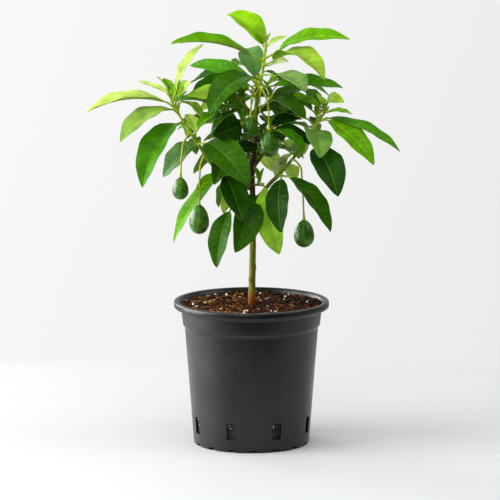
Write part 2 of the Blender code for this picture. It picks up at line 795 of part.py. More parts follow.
def build_all():
    """Clears the scene and builds pot, soil, trunk, boughs and masses."""
    for old in list(bpy.data.objects):
        bpy.data.objects.remove(old)
    black_plastic = add_material("black polypropylene", (0.022, 0.024, 0.028), 0.42)
    potting_mix = add_material("bark potting mix", (0.060, 0.030, 0.016), 0.95)
    bark = add_material("green young bark", (0.16, 0.19, 0.045), 0.6)
    foliage = add_material("avocado leaf", (0.045, 0.16, 0.018), 0.45)
    build_pot(black_plastic)
    build_soil(potting_mix)
    limbs = build_limbs()
    for name, (points, radii, sides) in limbs.items():
        shade_round(add_object(name, skin(tube_rings(points, radii, sides)), bark))
    for mass in grow_plant(limbs):
        fuse(mass.name, mass.solids, foliage)


build_all()
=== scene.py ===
import math
import random

import bmesh
import bpy
import numpy as np
from mathutils import Matrix, Vector, noise
from mathutils.bvhtree import BVHTree


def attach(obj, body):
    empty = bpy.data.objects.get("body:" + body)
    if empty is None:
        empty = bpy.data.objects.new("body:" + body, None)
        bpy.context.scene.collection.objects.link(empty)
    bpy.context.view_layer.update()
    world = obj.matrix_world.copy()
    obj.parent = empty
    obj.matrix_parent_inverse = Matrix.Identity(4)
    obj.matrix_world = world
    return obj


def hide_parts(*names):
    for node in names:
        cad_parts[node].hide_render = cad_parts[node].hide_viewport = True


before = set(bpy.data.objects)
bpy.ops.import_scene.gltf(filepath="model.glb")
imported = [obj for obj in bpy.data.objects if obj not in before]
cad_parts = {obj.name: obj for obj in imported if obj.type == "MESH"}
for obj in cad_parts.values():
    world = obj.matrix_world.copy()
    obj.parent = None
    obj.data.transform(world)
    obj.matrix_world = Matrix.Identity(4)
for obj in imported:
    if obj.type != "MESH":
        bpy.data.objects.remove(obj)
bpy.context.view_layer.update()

# Nursery pot: black polypropylene, moulded in one shot with a rolled lip, a straight collar over a step, a
# tapering body and a raised floor on a notched foot ring. Eight drain slots are cored through the wall at the
# foot. All lengths here and below are in millimetres, and add_piece turns them to metres.
MM = 0.001
POT_HEIGHT = 156.0
LIP_RADIUS = 84.0
LIP_DEPTH = 7.5
COLLAR_RADIUS = 75.8
COLLAR_FOOT_RADIUS = 74.2
STEP_HEIGHT = 130.0
STEP_DEPTH = 1.5
BODY_TOP_RADIUS = 72.4
BASE_RADIUS = 62.6
WALL = 2.0
FLOOR_UNDERSIDE = 3.2
FLOOR_TOP = 5.0
FOOT_RING_WIDTH = 7.0
POT_SIDES = 144
SLOT_COUNT = 8
SLOT_FIRST_BEARING = 250.0
SLOT_WIDTH = 10.0
SLOT_LOW = 14.0
SLOT_HIGH = 32.0
SLOT_CUT_DEPTH = 12.0
NOTCH_WIDTH = 7.5
NOTCH_HEIGHT = 3.0
NOTCH_CUT_LOW = -1.0
NOTCH_CUT_DEPTH = 20.0


def linear(shade, alpha=1.0):
    """A linear colour from an sRGB hex string."""
    parts = [int(shade[i : i + 2], 16) / 255 for i in (1, 3, 5)]
    return (*[c / 12.92 if c <= 0.04045 else ((c + 0.055) / 1.055) ** 2.4 for c in parts], alpha)


def add_node(tree, kind, settings, links):
    """Adds a node with its settings, which are properties or unlinked sockets, and its links by socket.

    A link comes from an output, or from a node for its first output.
    """
    made = tree.nodes.new("ShaderNode" + kind)
    for name, value in settings.items():
        if isinstance(name, str) and hasattr(made, name):
            setattr(made, name, value)
        else:
            made.inputs[name].default_value = value
    for name, source in links.items():
        output = source.outputs[0] if isinstance(source, bpy.types.Node) else source
        tree.links.new(output, made.inputs[name])
    return made


def new_finish(name, **settings):
    """A Principled material with its constant sockets set, and its tree, shader and coordinates for nodes."""
    material = bpy.data.materials.new(name)
    material.use_nodes = True
    tree = material.node_tree
    shader = tree.nodes["Principled BSDF"]
    for socket, value in settings.items():
        shader.inputs[socket.replace("_", " ")].default_value = value
    place = tree.nodes.new("ShaderNodeTexCoord").outputs["Object"]
    return material, tree, shader, place


def set_stops(ramp, stops):
    """Sets a colour ramp's stops from pairs of position and sRGB hex colour, in rising order."""
    points = ramp.color_ramp.elements
    points[0].position, points[1].position = stops[0][0], stops[-1][0]
    for place, _ in stops[1:-1]:
        points.new(place)
    for point, (_, shade) in zip(points, stops):
        point.color = linear(shade)


def blotches(tree, place, grain, shades, detail=3.0, spread=(0.35, 0.65), stretch=(1, 1, 1)):
    """Soft blotches of a size in millimetres that run through the shades in turn: their colour and height."""
    moved = add_node(tree, "Mapping", {"Scale": stretch}, {"Vector": place})
    cloud = add_node(tree, "TexNoise", {"Scale": 1 / (grain * MM), "Detail": detail}, {"Vector": moved})
    ramp = add_node(tree, "ValToRGB", {}, {"Fac": cloud})
    low, high = spread
    step = (high - low) / (len(shades) - 1)
    set_stops(ramp, [(low + step * number, shade) for number, shade in enumerate(shades)])
    return ramp.outputs["Color"], cloud.outputs["Fac"]


def add_relief(tree, shader, height, depth, strength=1.0):
    """Bump of a depth in millimetres from a height pattern that runs from 0 to 1."""
    bump = add_node(tree, "Bump", {"Strength": strength, "Distance": depth * MM}, {"Height": height})
    tree.links.new(bump.outputs["Normal"], shader.inputs["Normal"])


def as_mesh(name, shape):
    """Turns a bmesh into a mesh and frees it."""
    mesh = bpy.data.meshes.new(name)
    shape.to_mesh(mesh)
    shape.free()
    return mesh


def add_object(name, data):
    """Puts a mesh, a lamp or a camera into the scene."""
    made = bpy.data.objects.new(name, data)
    bpy.context.scene.collection.objects.link(made)
    return made


def add_piece(name, shape, finishes, nodes=(), crease=35):
    """Puts a bmesh in millimetres into the scene in metres, on the plant's body, in its CAD nodes' place."""
    bmesh.ops.scale(shape, vec=(MM, MM, MM), verts=shape.verts)
    mesh = as_mesh(name, shape)
    for finish in finishes:
        mesh.materials.append(finish)
    mesh.shade_smooth()
    mesh.set_sharp_from_angle(angle=math.radians(crease))
    piece = add_object(name, mesh)
    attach(piece, "root")
    if nodes:
        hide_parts(*nodes)


def spin_line(outline, sides):
    """The surface that an outline of (radius, height) sweeps when it is spun once round Z."""
    swept = bmesh.new()
    verts = [swept.verts.new((radius, 0, height)) for radius, height in outline]
    edges = [swept.edges.new(pair) for pair in zip(verts, verts[1:])]
    bmesh.ops.spin(
        swept,
        geom=verts + edges,
        cent=(0, 0, 0),
        axis=(0, 0, 1),
        dvec=(0, 0, 0),
        angle=math.tau,
        steps=sides,
        use_merge=True,
        use_duplicate=False,
    )
    return swept


def spun_solid(outline, sides):
    """A closed solid of revolution from an outline that starts and ends on the axis."""
    solid = spin_line(outline, sides)
    bmesh.ops.remove_doubles(solid, verts=solid.verts, dist=0.001)
    bmesh.ops.recalc_face_normals(solid, faces=solid.faces)
    return solid


def pot_wall_radius(height):
    """The pot's outer radius at a height, under the lip."""
    if height >= STEP_HEIGHT:
        share = (height - STEP_HEIGHT) / (POT_HEIGHT - LIP_DEPTH - STEP_HEIGHT)
        return COLLAR_FOOT_RADIUS + (COLLAR_RADIUS - COLLAR_FOOT_RADIUS) * min(share, 1.0)
    return BASE_RADIUS + (BODY_TOP_RADIUS - BASE_RADIUS) * height / STEP_HEIGHT


def cut_boxes(solid, bearings, radius, low, high, size):
    """Cuts a box through the pot's wall at each bearing, with an exact Boolean that is applied at once."""
    boxes = bmesh.new()
    for bearing in bearings:
        turn = Matrix.Rotation(math.radians(bearing), 4, "Z")
        stand = turn @ Matrix.Translation((radius, 0, (low + high) / 2))
        bmesh.ops.create_cube(boxes, size=1, matrix=stand @ Matrix.Diagonal((*size, high - low, 1)))
    blank = add_object("blank", as_mesh("blank", solid))
    cutter = add_object("cutter", as_mesh("cutter", boxes))
    cut = blank.modifiers.new("cut", "BOOLEAN")
    cut.operation = "DIFFERENCE"
    cut.solver = "EXACT"
    cut.object = cutter
    result = bmesh.new()
    result.from_object(blank, bpy.context.evaluated_depsgraph_get())
    for spent in (blank, cutter):
        bpy.data.objects.remove(spent)
    return result


collar_top = POT_HEIGHT - LIP_DEPTH
below_step = STEP_HEIGHT - STEP_DEPTH
# The outline's small offsets round the moulding's corners
lip_outline = [
    (COLLAR_RADIUS, collar_top - 3.2),
    (COLLAR_RADIUS + 1.0, collar_top - 2.2),
    (COLLAR_RADIUS + 1.4, collar_top - 0.2),
    (LIP_RADIUS - 2.2, collar_top),
    (LIP_RADIUS - 1.0, collar_top + 0.3),
    (LIP_RADIUS - 0.2, collar_top + 1.2),
    (LIP_RADIUS, collar_top + 2.6),
    (LIP_RADIUS, POT_HEIGHT - 1.9),
    (LIP_RADIUS - 0.3, POT_HEIGHT - 0.9),
    (LIP_RADIUS - 0.9, POT_HEIGHT - 0.25),
    (LIP_RADIUS - 1.7, POT_HEIGHT),
    (COLLAR_RADIUS + 3.8, POT_HEIGHT),
    (COLLAR_RADIUS + 2.8, POT_HEIGHT - 0.4),
    (COLLAR_RADIUS + 1.9, POT_HEIGHT - 1.5),
    (COLLAR_RADIUS + 0.8, POT_HEIGHT - 3.6),
    (COLLAR_RADIUS - 1.0, POT_HEIGHT - 6.0),
]
pot_outline = [
    (0.0, FLOOR_UNDERSIDE),
    (BASE_RADIUS - FOOT_RING_WIDTH - 1.0, FLOOR_UNDERSIDE),
    (BASE_RADIUS - FOOT_RING_WIDTH, 0.6),
    (BASE_RADIUS - FOOT_RING_WIDTH + 0.8, 0.0),
    (BASE_RADIUS - 1.5, 0.0),
    (BASE_RADIUS - 0.4, 0.4),
    (BASE_RADIUS, 1.5),
    *[(pot_wall_radius(height), height) for height in (4, 34, 64, 94, below_step - 3.0, below_step - 1.0)],
    (BODY_TOP_RADIUS + 0.2, below_step - 0.2),
    (COLLAR_FOOT_RADIUS - 0.4, STEP_HEIGHT - 0.3),
    (COLLAR_FOOT_RADIUS, STEP_HEIGHT + 0.2),
    (COLLAR_FOOT_RADIUS + 0.1, STEP_HEIGHT + 0.9),
    (COLLAR_RADIUS - 0.2, collar_top - 6.0),
    *lip_outline,
    (COLLAR_RADIUS - WALL, collar_top),
    (COLLAR_FOOT_RADIUS - WALL, STEP_HEIGHT),
    (pot_wall_radius(below_step) - WALL, below_step - 1.0),
    (pot_wall_radius(FLOOR_TOP) - WALL, FLOOR_TOP),
    (0.0, FLOOR_TOP),
]
slot_bearings = [SLOT_FIRST_BEARING + 360 * k / SLOT_COUNT for k in range(SLOT_COUNT)]
notch_bearings = [SLOT_FIRST_BEARING + 180 * k / SLOT_COUNT for k in range(2 * SLOT_COUNT)]
slot_middle = pot_wall_radius((SLOT_LOW + SLOT_HIGH) / 2)
foot_middle = BASE_RADIUS - FOOT_RING_WIDTH / 2
slot_size = (SLOT_CUT_DEPTH, SLOT_WIDTH)
notch_size = (NOTCH_CUT_DEPTH, NOTCH_WIDTH)
pot_shape = spun_solid(pot_outline, POT_SIDES)
pot_shape = cut_boxes(pot_shape, slot_bearings, slot_middle, SLOT_LOW, SLOT_HIGH, slot_size)
pot_shape = cut_boxes(pot_shape, notch_bearings, foot_middle, NOTCH_CUT_LOW, NOTCH_HEIGHT, notch_size)

# Black polypropylene with a fine moulded satin: the highlight is broad and soft and brightens at a glancing
# angle. Faint handling dust lightens it in places.
pot_finish, tree, shader, place = new_finish(
    "black polypropylene, moulded satin", Roughness=0.32, IOR=1.49, Specular_IOR_Level=0.45
)
dust, haze = blotches(tree, place, 26, ["#08090a", "#0e0f11", "#16171a"])
tree.links.new(dust, shader.inputs["Base Color"])
wear_range = {"From Min": 0.3, "From Max": 0.7, "To Min": 0.29, "To Max": 0.36}
wear = add_node(tree, "MapRange", wear_range, {"Value": haze})
tree.links.new(wear.outputs["Result"], shader.inputs["Roughness"])
# Mould satin of 0.4 mm grain is too fine for the render, so it is drawn at 1.2 mm
_, satin = blotches(tree, place, 1.2, ["#000000", "#ffffff"], detail=1.0)
add_relief(tree, shader, satin, 0.02)
add_piece("nursery_pot", pot_shape, [pot_finish], ["pot"])

# Potting mix: composted bark with coir fibre, a little moss and white perlite. It fills the pot, and its
# loose top lies 4 mm under the rim. Crumbs and chips of bark are pressed into its surface.
SOIL_EDGE = 152.4
SOIL_RADIUS = 76.4
SOIL_CROWN = 152.5
SOIL_CROWN_RADIUS = 9.0
SOIL_MOUND = ((58.0, 0.40), (36.0, 0.75))  # radius, and share of the rise from edge to crown
SOIL_LUMP = 3.4
SOIL_LUMPS = ((0.75, 9.0, 3.0), (0.6, 3.4, 17.0))  # share of the height, width, and place in the noise
LUMP_AT_TRUNK = 0.3  # of the lumps' height elsewhere
SOIL_SETTLED = 0.9
SOIL_RING_SPACING = 1.6
SOIL_SIDES = 150
CLEAR_OF_WALL = 0.5
STREWN_AREA = (0.012, 0.965)  # shares of the soil's area, from the trunk to the wall
PATCH = 13.0  # of golden chips and fibres among the dark crumbs
PATCH_LEVEL = 0.13  # of the noise, above which a patch lies
PATCH_LEAN = 0.002  # that makes them fewer towards the right
GOLD_MIDDLE = (-16.0, 14.0)  # of the largest patch, beside the trunk
GOLD_HALF = (13.0, 26.0)
MOSS_MIDDLE = (-10.0, 6.0)
MOSS_RADIUS = 12.0


def mound(radius):
    """The soil's mean height at a distance from the trunk."""
    rise = SOIL_CROWN - SOIL_EDGE
    knots = [(0.0, SOIL_CROWN), (SOIL_CROWN_RADIUS, SOIL_CROWN)]
    knots += [(r, SOIL_EDGE + share * rise) for r, share in reversed(SOIL_MOUND)] + [(SOIL_RADIUS, SOIL_EDGE)]
    return float(np.interp(radius, *zip(*knots)))


def soil_height(x, y):
    """The height of the lumpy soil surface."""
    lumps = sum(share * noise.noise(Vector((x, y, lift)) / width) for share, width, lift in SOIL_LUMPS)
    away = min(1.0, math.hypot(x, y) / SOIL_CROWN_RADIUS)
    rough = LUMP_AT_TRUNK + (1 - LUMP_AT_TRUNK) * away
    return mound(math.hypot(x, y)) + SOIL_LUMP * lumps * rough - SOIL_SETTLED


ring_count = int(SOIL_RADIUS / SOIL_RING_SPACING)
soil_outline = [
    (0.0, FLOOR_TOP + CLEAR_OF_WALL),
    (pot_wall_radius(FLOOR_TOP) - WALL - CLEAR_OF_WALL, FLOOR_TOP + CLEAR_OF_WALL),
    (pot_wall_radius(40.0) - WALL - CLEAR_OF_WALL, 40.0),
    (pot_wall_radius(below_step) - WALL - CLEAR_OF_WALL, below_step - 1.5),
    (COLLAR_FOOT_RADIUS - WALL - CLEAR_OF_WALL, STEP_HEIGHT),
    (COLLAR_RADIUS - WALL - CLEAR_OF_WALL, collar_top),
    *[(SOIL_RADIUS * (1 - k / ring_count), SOIL_EDGE) for k in range(ring_count + 1)],
]
soil_shape = spun_solid(soil_outline, SOIL_SIDES)
for vert in soil_shape.verts:
    if vert.co.z > collar_top + 1:
        vert.co.z = soil_height(vert.co.x, vert.co.y)

potting_mix, tree, shader, place = new_finish(
    "composted bark, damp and dull", Roughness=0.93, Specular_IOR_Level=0.15
)
mix_shades = ["#0b0502", "#1d0d05", "#3a1a0a", "#1a0b04", "#4d2810"]
mix_colour, mix_grain = blotches(tree, place, 3.2, mix_shades, detail=5.0, spread=(0.3, 0.72))
tree.links.new(mix_colour, shader.inputs["Base Color"])
add_relief(tree, shader, mix_grain, 1.2)


def flat_finish(name, shades, grain, roughness, depth=0.0, **settings):
    """A material with blotches of its shades and, where depth is given, a relief from the same pattern."""
    material, tree, shader, place = new_finish(name, Roughness=roughness, **settings)
    colour, pattern = blotches(tree, place, grain, shades)
    tree.links.new(colour, shader.inputs["Base Color"])
    if depth:
        add_relief(tree, shader, pattern, depth)
    return material


# The soil's faces under the step, seen only through the drain slots, take darker colours: painted shade
# inside the pot.
slot_shade_mix = flat_finish("composted bark, painted shade behind the drain slots", ["#060403", "#21160c"], 2.5, 0.8, 0.8)
for face in soil_shape.faces:
    face.material_index = 1 if face.calc_center_median().z < STEP_HEIGHT else 0
add_piece("potting_mix", soil_shape, [potting_mix, slot_shade_mix], ["soil"])


def scatter(piece, chance, count, sizes, slots, sunk=0.3, flatness=(0.5, 0.9), keep=None, rough=0.1):
    """Presses faceted grains into the soil's surface, each an icosphere squashed and roughened by chance."""
    placed = 0
    while placed < count:
        radius = math.sqrt(chance.uniform(*STREWN_AREA)) * SOIL_RADIUS
        bearing = chance.uniform(0, math.tau)
        x, y = radius * math.cos(bearing), radius * math.sin(bearing)
        if keep and not keep(x, y, chance):
            continue
        size = chance.uniform(*sizes)
        wide, high = size * chance.uniform(0.45, 0.95), size * chance.uniform(*flatness)
        turn = Matrix.Rotation(chance.uniform(0, math.tau), 4, "Z")
        tilt = Matrix.Rotation(chance.uniform(-0.5, 0.5), 4, "X")
        stand = Matrix.Translation((x, y, soil_height(x, y) + size * (0.25 - sunk)))
        set_down = stand @ (turn @ tilt) @ Matrix.Diagonal((size, wide, high, 1))
        made = bmesh.ops.create_icosphere(piece, subdivisions=1, radius=0.5, matrix=set_down)
        slot = chance.choice(slots)
        for vert in made["verts"]:
            vert.co += Vector([chance.uniform(-rough, rough) * size for _ in range(3)])
            for face in vert.link_faces:
                face.material_index = slot
        placed += 1


def in_patch(x, y, chance):
    """Keeps what lies in the golden patches."""
    by_trunk = math.hypot((x - GOLD_MIDDLE[0]) / GOLD_HALF[0], (y - GOLD_MIDDLE[1]) / GOLD_HALF[1]) < 1
    return by_trunk or noise.noise(Vector((x, y, 40.0)) / PATCH) > PATCH_LEVEL + PATCH_LEAN * x


def in_moss(x, y, chance):
    """Keeps what lies in the one small patch of moss."""
    return math.hypot(x - MOSS_MIDDLE[0], y - MOSS_MIDDLE[1]) < MOSS_RADIUS


bark_shades = [
    flat_finish("pine bark crumb, dark", ["#130803", "#2b1508"], 2.0, 0.9, Specular_IOR_Level=0.15),
    flat_finish("pine bark crumb, red brown", ["#42190a", "#6e3212"], 2.0, 0.88, Specular_IOR_Level=0.15),
    flat_finish("pine bark crumb, tan", ["#8a5c22", "#bf8c44"], 2.0, 0.85, Specular_IOR_Level=0.15),
    flat_finish("moss, damp", ["#1c2a0c", "#33480f"], 1.5, 0.95),
]
crumbs = bmesh.new()
scatter(crumbs, random.Random(5), 1050, (1.8, 4.8), [0, 0, 1])
scatter(crumbs, random.Random(6), 240, (5.0, 13.0), [0, 0, 1], flatness=(0.2, 0.5))
scatter(crumbs, random.Random(8), 130, (2.5, 9.0), [1, 2, 2], flatness=(0.25, 0.5), keep=in_patch)
scatter(crumbs, random.Random(7), 60, (1.5, 3.5), [3], keep=in_moss)
add_piece("bark_crumbs", crumbs, bark_shades, crease=20)

# Perlite: volcanic glass puffed up by heat into white and cream grains of 2 to 5 mm, stirred into the mix.
# Most of it lies towards the left front of the pot, and finer grains show in the drain slots.
PERLITE_COUNT = 44
PERLITE_SIZE = (2.0, 5.0)
SLOT_PERLITE_COUNT = 2  # in each drain slot
SLOT_PERLITE_SIZE = (0.8, 1.9)
SLOT_PERLITE_TURN = 3.2  # to either side of the slot's middle, in degrees

perlite_shades = [
    flat_finish("expanded perlite, white", ["#e2d9c4", "#f6f0e0"], 0.8, 0.8, 0.1),
    flat_finish("expanded perlite, cream", ["#c4ae82", "#eadbb4"], 0.8, 0.8, 0.1),
]


def near_front_left(x, y, chance):
    """Keeps most grains off the right back half."""
    return chance.random() < (0.95 if x - y < 10 else 0.45)


perlite = bmesh.new()
perlite_lie = dict(sunk=0.05, keep=near_front_left, rough=0.13)
scatter(perlite, random.Random(12), PERLITE_COUNT, PERLITE_SIZE, [0, 1, 0], **perlite_lie)
drain = random.Random(9)
for bearing in slot_bearings:
    for _ in range(SLOT_PERLITE_COUNT):
        height = drain.uniform(SLOT_LOW + 9, SLOT_HIGH - 2)
        out = pot_wall_radius(height) - WALL - CLEAR_OF_WALL
        turn = math.radians(bearing + drain.uniform(-SLOT_PERLITE_TURN, SLOT_PERLITE_TURN))
        grain = drain.uniform(*SLOT_PERLITE_SIZE)
        stand = Matrix.Translation((out * math.cos(turn), out * math.sin(turn), height))
        bmesh.ops.create_icosphere(perlite, subdivisions=2, radius=grain / 2, matrix=stand)
add_piece("perlite_grains", perlite, perlite_shades, crease=20)

# Coir fibres: golden brown threads of coconut husk, cut short and stirred into the mix. They lie tangled on
# it, most of them left and in front of the trunk and in the golden patches.
FIBRE_COUNT = 340
FIBRE_AREA = (0.02, 0.9)  # shares of the soil's area, from the trunk to the wall
FIBRE_LEFT = (95, 275)  # bearings of most fibres
FIBRE_LENGTH = (6, 17)
FIBRE_THICK = (0.2, 0.5)
FIBRE_TIP = 0.1
FIBRE_HEIGHT = (0.3, 1.6)  # above the soil
FIBRE_POINTS = 5
FIBRE_SIDES = 4
sleeves = {}


def sleeve(rings, sides):
    """The mesh of a closed round tube whose points hold the cosine and sine of their turn and their ring."""
    if (rings, sides) not in sleeves:
        tube = spin_line([(1, k) for k in range(rings)], sides)
        bmesh.ops.holes_fill(tube, edges=[edge for edge in tube.edges if edge.is_boundary], sides=sides)
        bmesh.ops.recalc_face_normals(tube, faces=tube.faces)
        sleeves[rings, sides] = as_mesh("sleeve", tube)
    return sleeves[rings, sides]


def set_points(piece, mesh, points, slots):
    """Adds a copy of a mesh to a piece, with its points moved and its faces' slots set."""
    made = mesh.copy()
    made.vertices.foreach_set("co", np.asarray(points, dtype=np.float32).ravel())
    made.polygons.foreach_set("material_index", np.asarray(slots, dtype=np.int32))
    piece.from_mesh(made)
    bpy.data.meshes.remove(made)


def mesh_points(mesh):
    """A mesh's points as rows of three numbers."""
    rows = np.empty(len(mesh.vertices) * 3, dtype=np.float32)
    mesh.vertices.foreach_get("co", rows)
    return rows.reshape(-1, 3).astype(float)


def crosswise(points):
    """Two directions square to a run of points at each of them, carried along it without a twist."""
    pairs = []
    side = (points[1] - points[0]).orthogonal()
    for i in range(len(points)):
        ahead = (points[min(i + 1, len(points) - 1)] - points[max(i - 1, 0)]).normalized()
        side = (side - ahead * side.dot(ahead)).normalized()
        pairs.append((side, ahead.cross(side)))
    return pairs


def add_tube(piece, points, radii, sides, slot=0, relief=None):
    """A closed tube through points with a radius at each, roughened by relief(ring, turn) in millimetres.

    slot is the material slot, or a list with one for each point.
    """
    mesh = sleeve(len(points), sides)
    rows = mesh_points(mesh)
    ring = np.rint(rows[:, 2]).astype(int)
    centres = np.array([point[:] for point in points])
    across, other = zip(*[(side[:], square[:]) for side, square in crosswise(points)])
    grown = np.array(radii)[ring]
    if relief:
        turns = np.arctan2(rows[:, 1], rows[:, 0])
        grown = grown + np.array([relief(k, turn) for k, turn in zip(ring, turns)])
    out = np.array(across)[ring] * rows[:, :1] + np.array(other)[ring] * rows[:, 1:2]
    by_point = slot if isinstance(slot, list) else [slot] * len(points)
    slots = [by_point[min(ring[v] for v in face.vertices)] for face in mesh.polygons]
    set_points(piece, mesh, centres[ring] + out * grown[:, None], slots)


fibres = bmesh.new()
chance = random.Random(21)
for number in range(FIBRE_COUNT):
    left_side = number % 4 != 0
    radius = math.sqrt(chance.uniform(*FIBRE_AREA)) * SOIL_RADIUS
    bearing = math.radians(chance.uniform(*FIBRE_LEFT) if left_side else chance.uniform(0, 360))
    x, y = radius * math.cos(bearing), radius * math.sin(bearing)
    if not in_patch(x, y, chance) and number % 3:
        continue
    turn = chance.uniform(0, math.tau)
    curl = chance.uniform(-0.5, 0.5)
    stride = chance.uniform(*FIBRE_LENGTH) / (FIBRE_POINTS - 1)
    points = []
    for _ in range(FIBRE_POINTS):
        if math.hypot(x, y) > SOIL_RADIUS - 2:
            break
        points.append(Vector((x, y, soil_height(x, y) + chance.uniform(*FIBRE_HEIGHT))))
        x += math.cos(turn) * stride
        y += math.sin(turn) * stride
        turn += curl
    if len(points) > 2:
        thick = chance.uniform(*FIBRE_THICK)
        add_tube(fibres, points, [thick] * (len(points) - 1) + [FIBRE_TIP], FIBRE_SIDES, number % 2)
fibre_shades = [
    flat_finish("coir fibre, golden", ["#774817", "#b98536"], 3.0, 0.75, Specular_IOR_Level=0.15),
    flat_finish("coir fibre, brown", ["#512a0e", "#86501e"], 3.0, 0.8, Specular_IOR_Level=0.15),
]
add_piece("coir_fibres", fibres, fibre_shades)

# Trunk and the two boughs: young wood, grown in one piece, cork brown at the root collar, then olive and
# green where the bark is still smooth, brown again through the middle and green to the leader. Ridges, pores
# and the scars of fallen leaves stand out of the bark.
GAP = 0.3  # that the plain model keeps between its pieces
TRUNK_FOOT = Vector((0.3, 0.0, SOIL_CROWN + GAP))
# A limb's strokes are (bearing, rise, length)
TRUNK_STROKES = [
    *[(0, 89, 37), (0, 89, 32), (180, 89.5, 61), (180, 88, 20)],
    *[(0, 78, 9), (0, 87, 54), (0, 82, 19)],
]
TRUNK_RADIUS = 3.4
TRUNK_TIP_RADIUS = 1.9
FLARE_RADIUS = 5.2  # of the root flare where the trunk meets the soil
FLARE_HEIGHT = 7.0
TRUNK_SIDES = 10
TRUNK_SPACING = 14.0
LIMB_SIDES = 8
BOUGH_SPACING = 8.0
# The two boughs leave the trunk level and then climb, and end where their leafy shoots begin
BOUGHS = {
    "bough_left": dict(height=279.0, strokes=[(184, 0, 3), (184, 30, 24)], radii=(2.5, 2.2)),
    "bough_right": dict(height=268.5, strokes=[(356, 0, 3), (356, 50, 21), (356, 42, 9)], radii=(2.3, 2.0)),
}
BARK_THICK = 0.45
BARK_SIDES = 28
BOUGH_BARK_SIDES = 20
BARK_SPACING = 1.2
TRUNK_SUNK = 1.5  # into the soil
BOUGH_SUNK = 0.9  # of the trunk's radius
BOUGH_FLARE = 0.9  # that a bough is thicker where it leaves the trunk
BARK_RIDGE = 0.14
BARK_PORE = 0.16
KNOT_SIZE = (2.4, 0.75)  # half its height, and half its width in radians
SCAR_SIZE = (0.7, 0.4)
SCAR_BELOW = 0.8  # its knot
SCAR_SHARE = 0.45  # of its knot's height that a scar is sunk
BOUGH_KNOT = 0.45
# Knots as (height, bearing round the trunk, how far they stand out)
TRUNK_KNOTS = [
    *[(192, 0, 1.5), (179, 178, 1.2), (214, 250, 0.5), (236, 95, 0.6), (252, 300, 0.5)],
    *[(268, 175, 1.0), (279, 200, 1.2), (268, 356, 1.0), (296, 60, 0.7), (307, 184, 0.9)],
    *[(322, 330, 0.8), (340, 190, 0.8), (352, 80, 0.8), (362, 350, 0.9), (376, 200, 0.7)],
]


def heading(bearing, rise):
    """The unit vector that points along a bearing and a rise."""
    across, up = math.radians(bearing), math.radians(rise)
    return Vector((math.cos(up) * math.cos(across), math.cos(up) * math.sin(across), math.sin(up)))


def eased(here, leave, there, arrive, t):
    """The point at a share of a smooth curve from here to there, by how it leaves and how it arrives."""
    return (
        here * (2 * t**3 - 3 * t**2 + 1)
        + leave * (t**3 - 2 * t**2 + t)
        + there * (3 * t**2 - 2 * t**3)
        + arrive * (t**3 - t**2)
    )


def route(foot, strokes, spacing):
    """Points along a limb that starts at foot and follows its strokes, with the bends between them eased."""
    knots = [foot.copy()]
    for bearing, rise, length in strokes:
        knots.append(knots[-1] + heading(bearing, rise) * length)
    points = [knots[0]]
    for i in range(len(knots) - 1):
        here, there = knots[i], knots[i + 1]
        before = knots[i - 1] if i else here - (there - here)
        after = knots[i + 2] if i + 2 < len(knots) else there + (there - here)
        reach = (there - here).length
        leave = (there - before).normalized() * reach
        arrive = (after - here).normalized() * reach
        count = max(1, round(reach / spacing))
        points += [eased(here, leave, there, arrive, step / count) for step in range(1, count + 1)]
    return points


def along(points, place):
    """The point at a share of the way along a run of points."""
    lengths = [(b - a).length for a, b in zip(points, points[1:])]
    left = place * sum(lengths)
    for a, b, length in zip(points, points[1:], lengths):
        if left <= length:
            break
        left -= length
    return a.lerp(b, min(left / length, 1.0))


def tapered(points, first, last):
    """Radii that fall evenly from the first to the last along a run of points."""
    return [first + (last - first) * i / (len(points) - 1) for i in range(len(points))]


def smooth_limb(coarse, radii, spacing):
    """A limb's coarse points and radii, filled in along a smooth line."""
    fine, widths = [], []
    for i in range(len(coarse) - 1):
        here, there = coarse[i], coarse[i + 1]
        leave = (there - coarse[max(i - 1, 0)]) * 0.5
        arrive = (coarse[min(i + 2, len(coarse) - 1)] - here) * 0.5
        steps = max(2, round((there - here).length / spacing))
        for step in range(steps + (i == len(coarse) - 2)):
            fine.append(eased(here, leave, there, arrive, step / steps))
            widths.append(radii[i] + (radii[i + 1] - radii[i]) * (step / steps))
    return fine, widths


def side_foot(trunk, radii, height, bearing):
    """Where a limb starts on the trunk's side, clear of the bark."""
    for i in range(len(trunk) - 1):
        if trunk[i + 1].z >= height:
            break
    share = (height - trunk[i].z) / (trunk[i + 1].z - trunk[i].z)
    centre = trunk[i].lerp(trunk[i + 1], share)
    radius = radii[i] + (radii[i + 1] - radii[i]) * share
    return centre + heading(bearing, 0) * (radius + GAP)


def build_limbs():
    """The routes and radii of the trunk and the boughs, as they stand."""
    trunk = route(TRUNK_FOOT, TRUNK_STROKES, TRUNK_SPACING)
    trunk.insert(1, trunk[0] + Vector((0, 0, FLARE_HEIGHT)))
    radii = [FLARE_RADIUS] + tapered(trunk[1:], TRUNK_RADIUS, TRUNK_TIP_RADIUS)
    limbs = {"trunk": (trunk, radii, TRUNK_SIDES)}
    for name, bough in BOUGHS.items():
        foot = side_foot(trunk, radii, bough["height"], bough["strokes"][0][0])
        points = route(foot, bough["strokes"], BOUGH_SPACING)
        limbs[name] = (points, tapered(points, *bough["radii"]), LIMB_SIDES)
    return limbs


def bump_at(up, turn, size):
    """A round swelling's height at a distance up from its middle and a turn away from it."""
    return math.exp(-((up / size[0]) ** 2) - (turn / size[1]) ** 2)


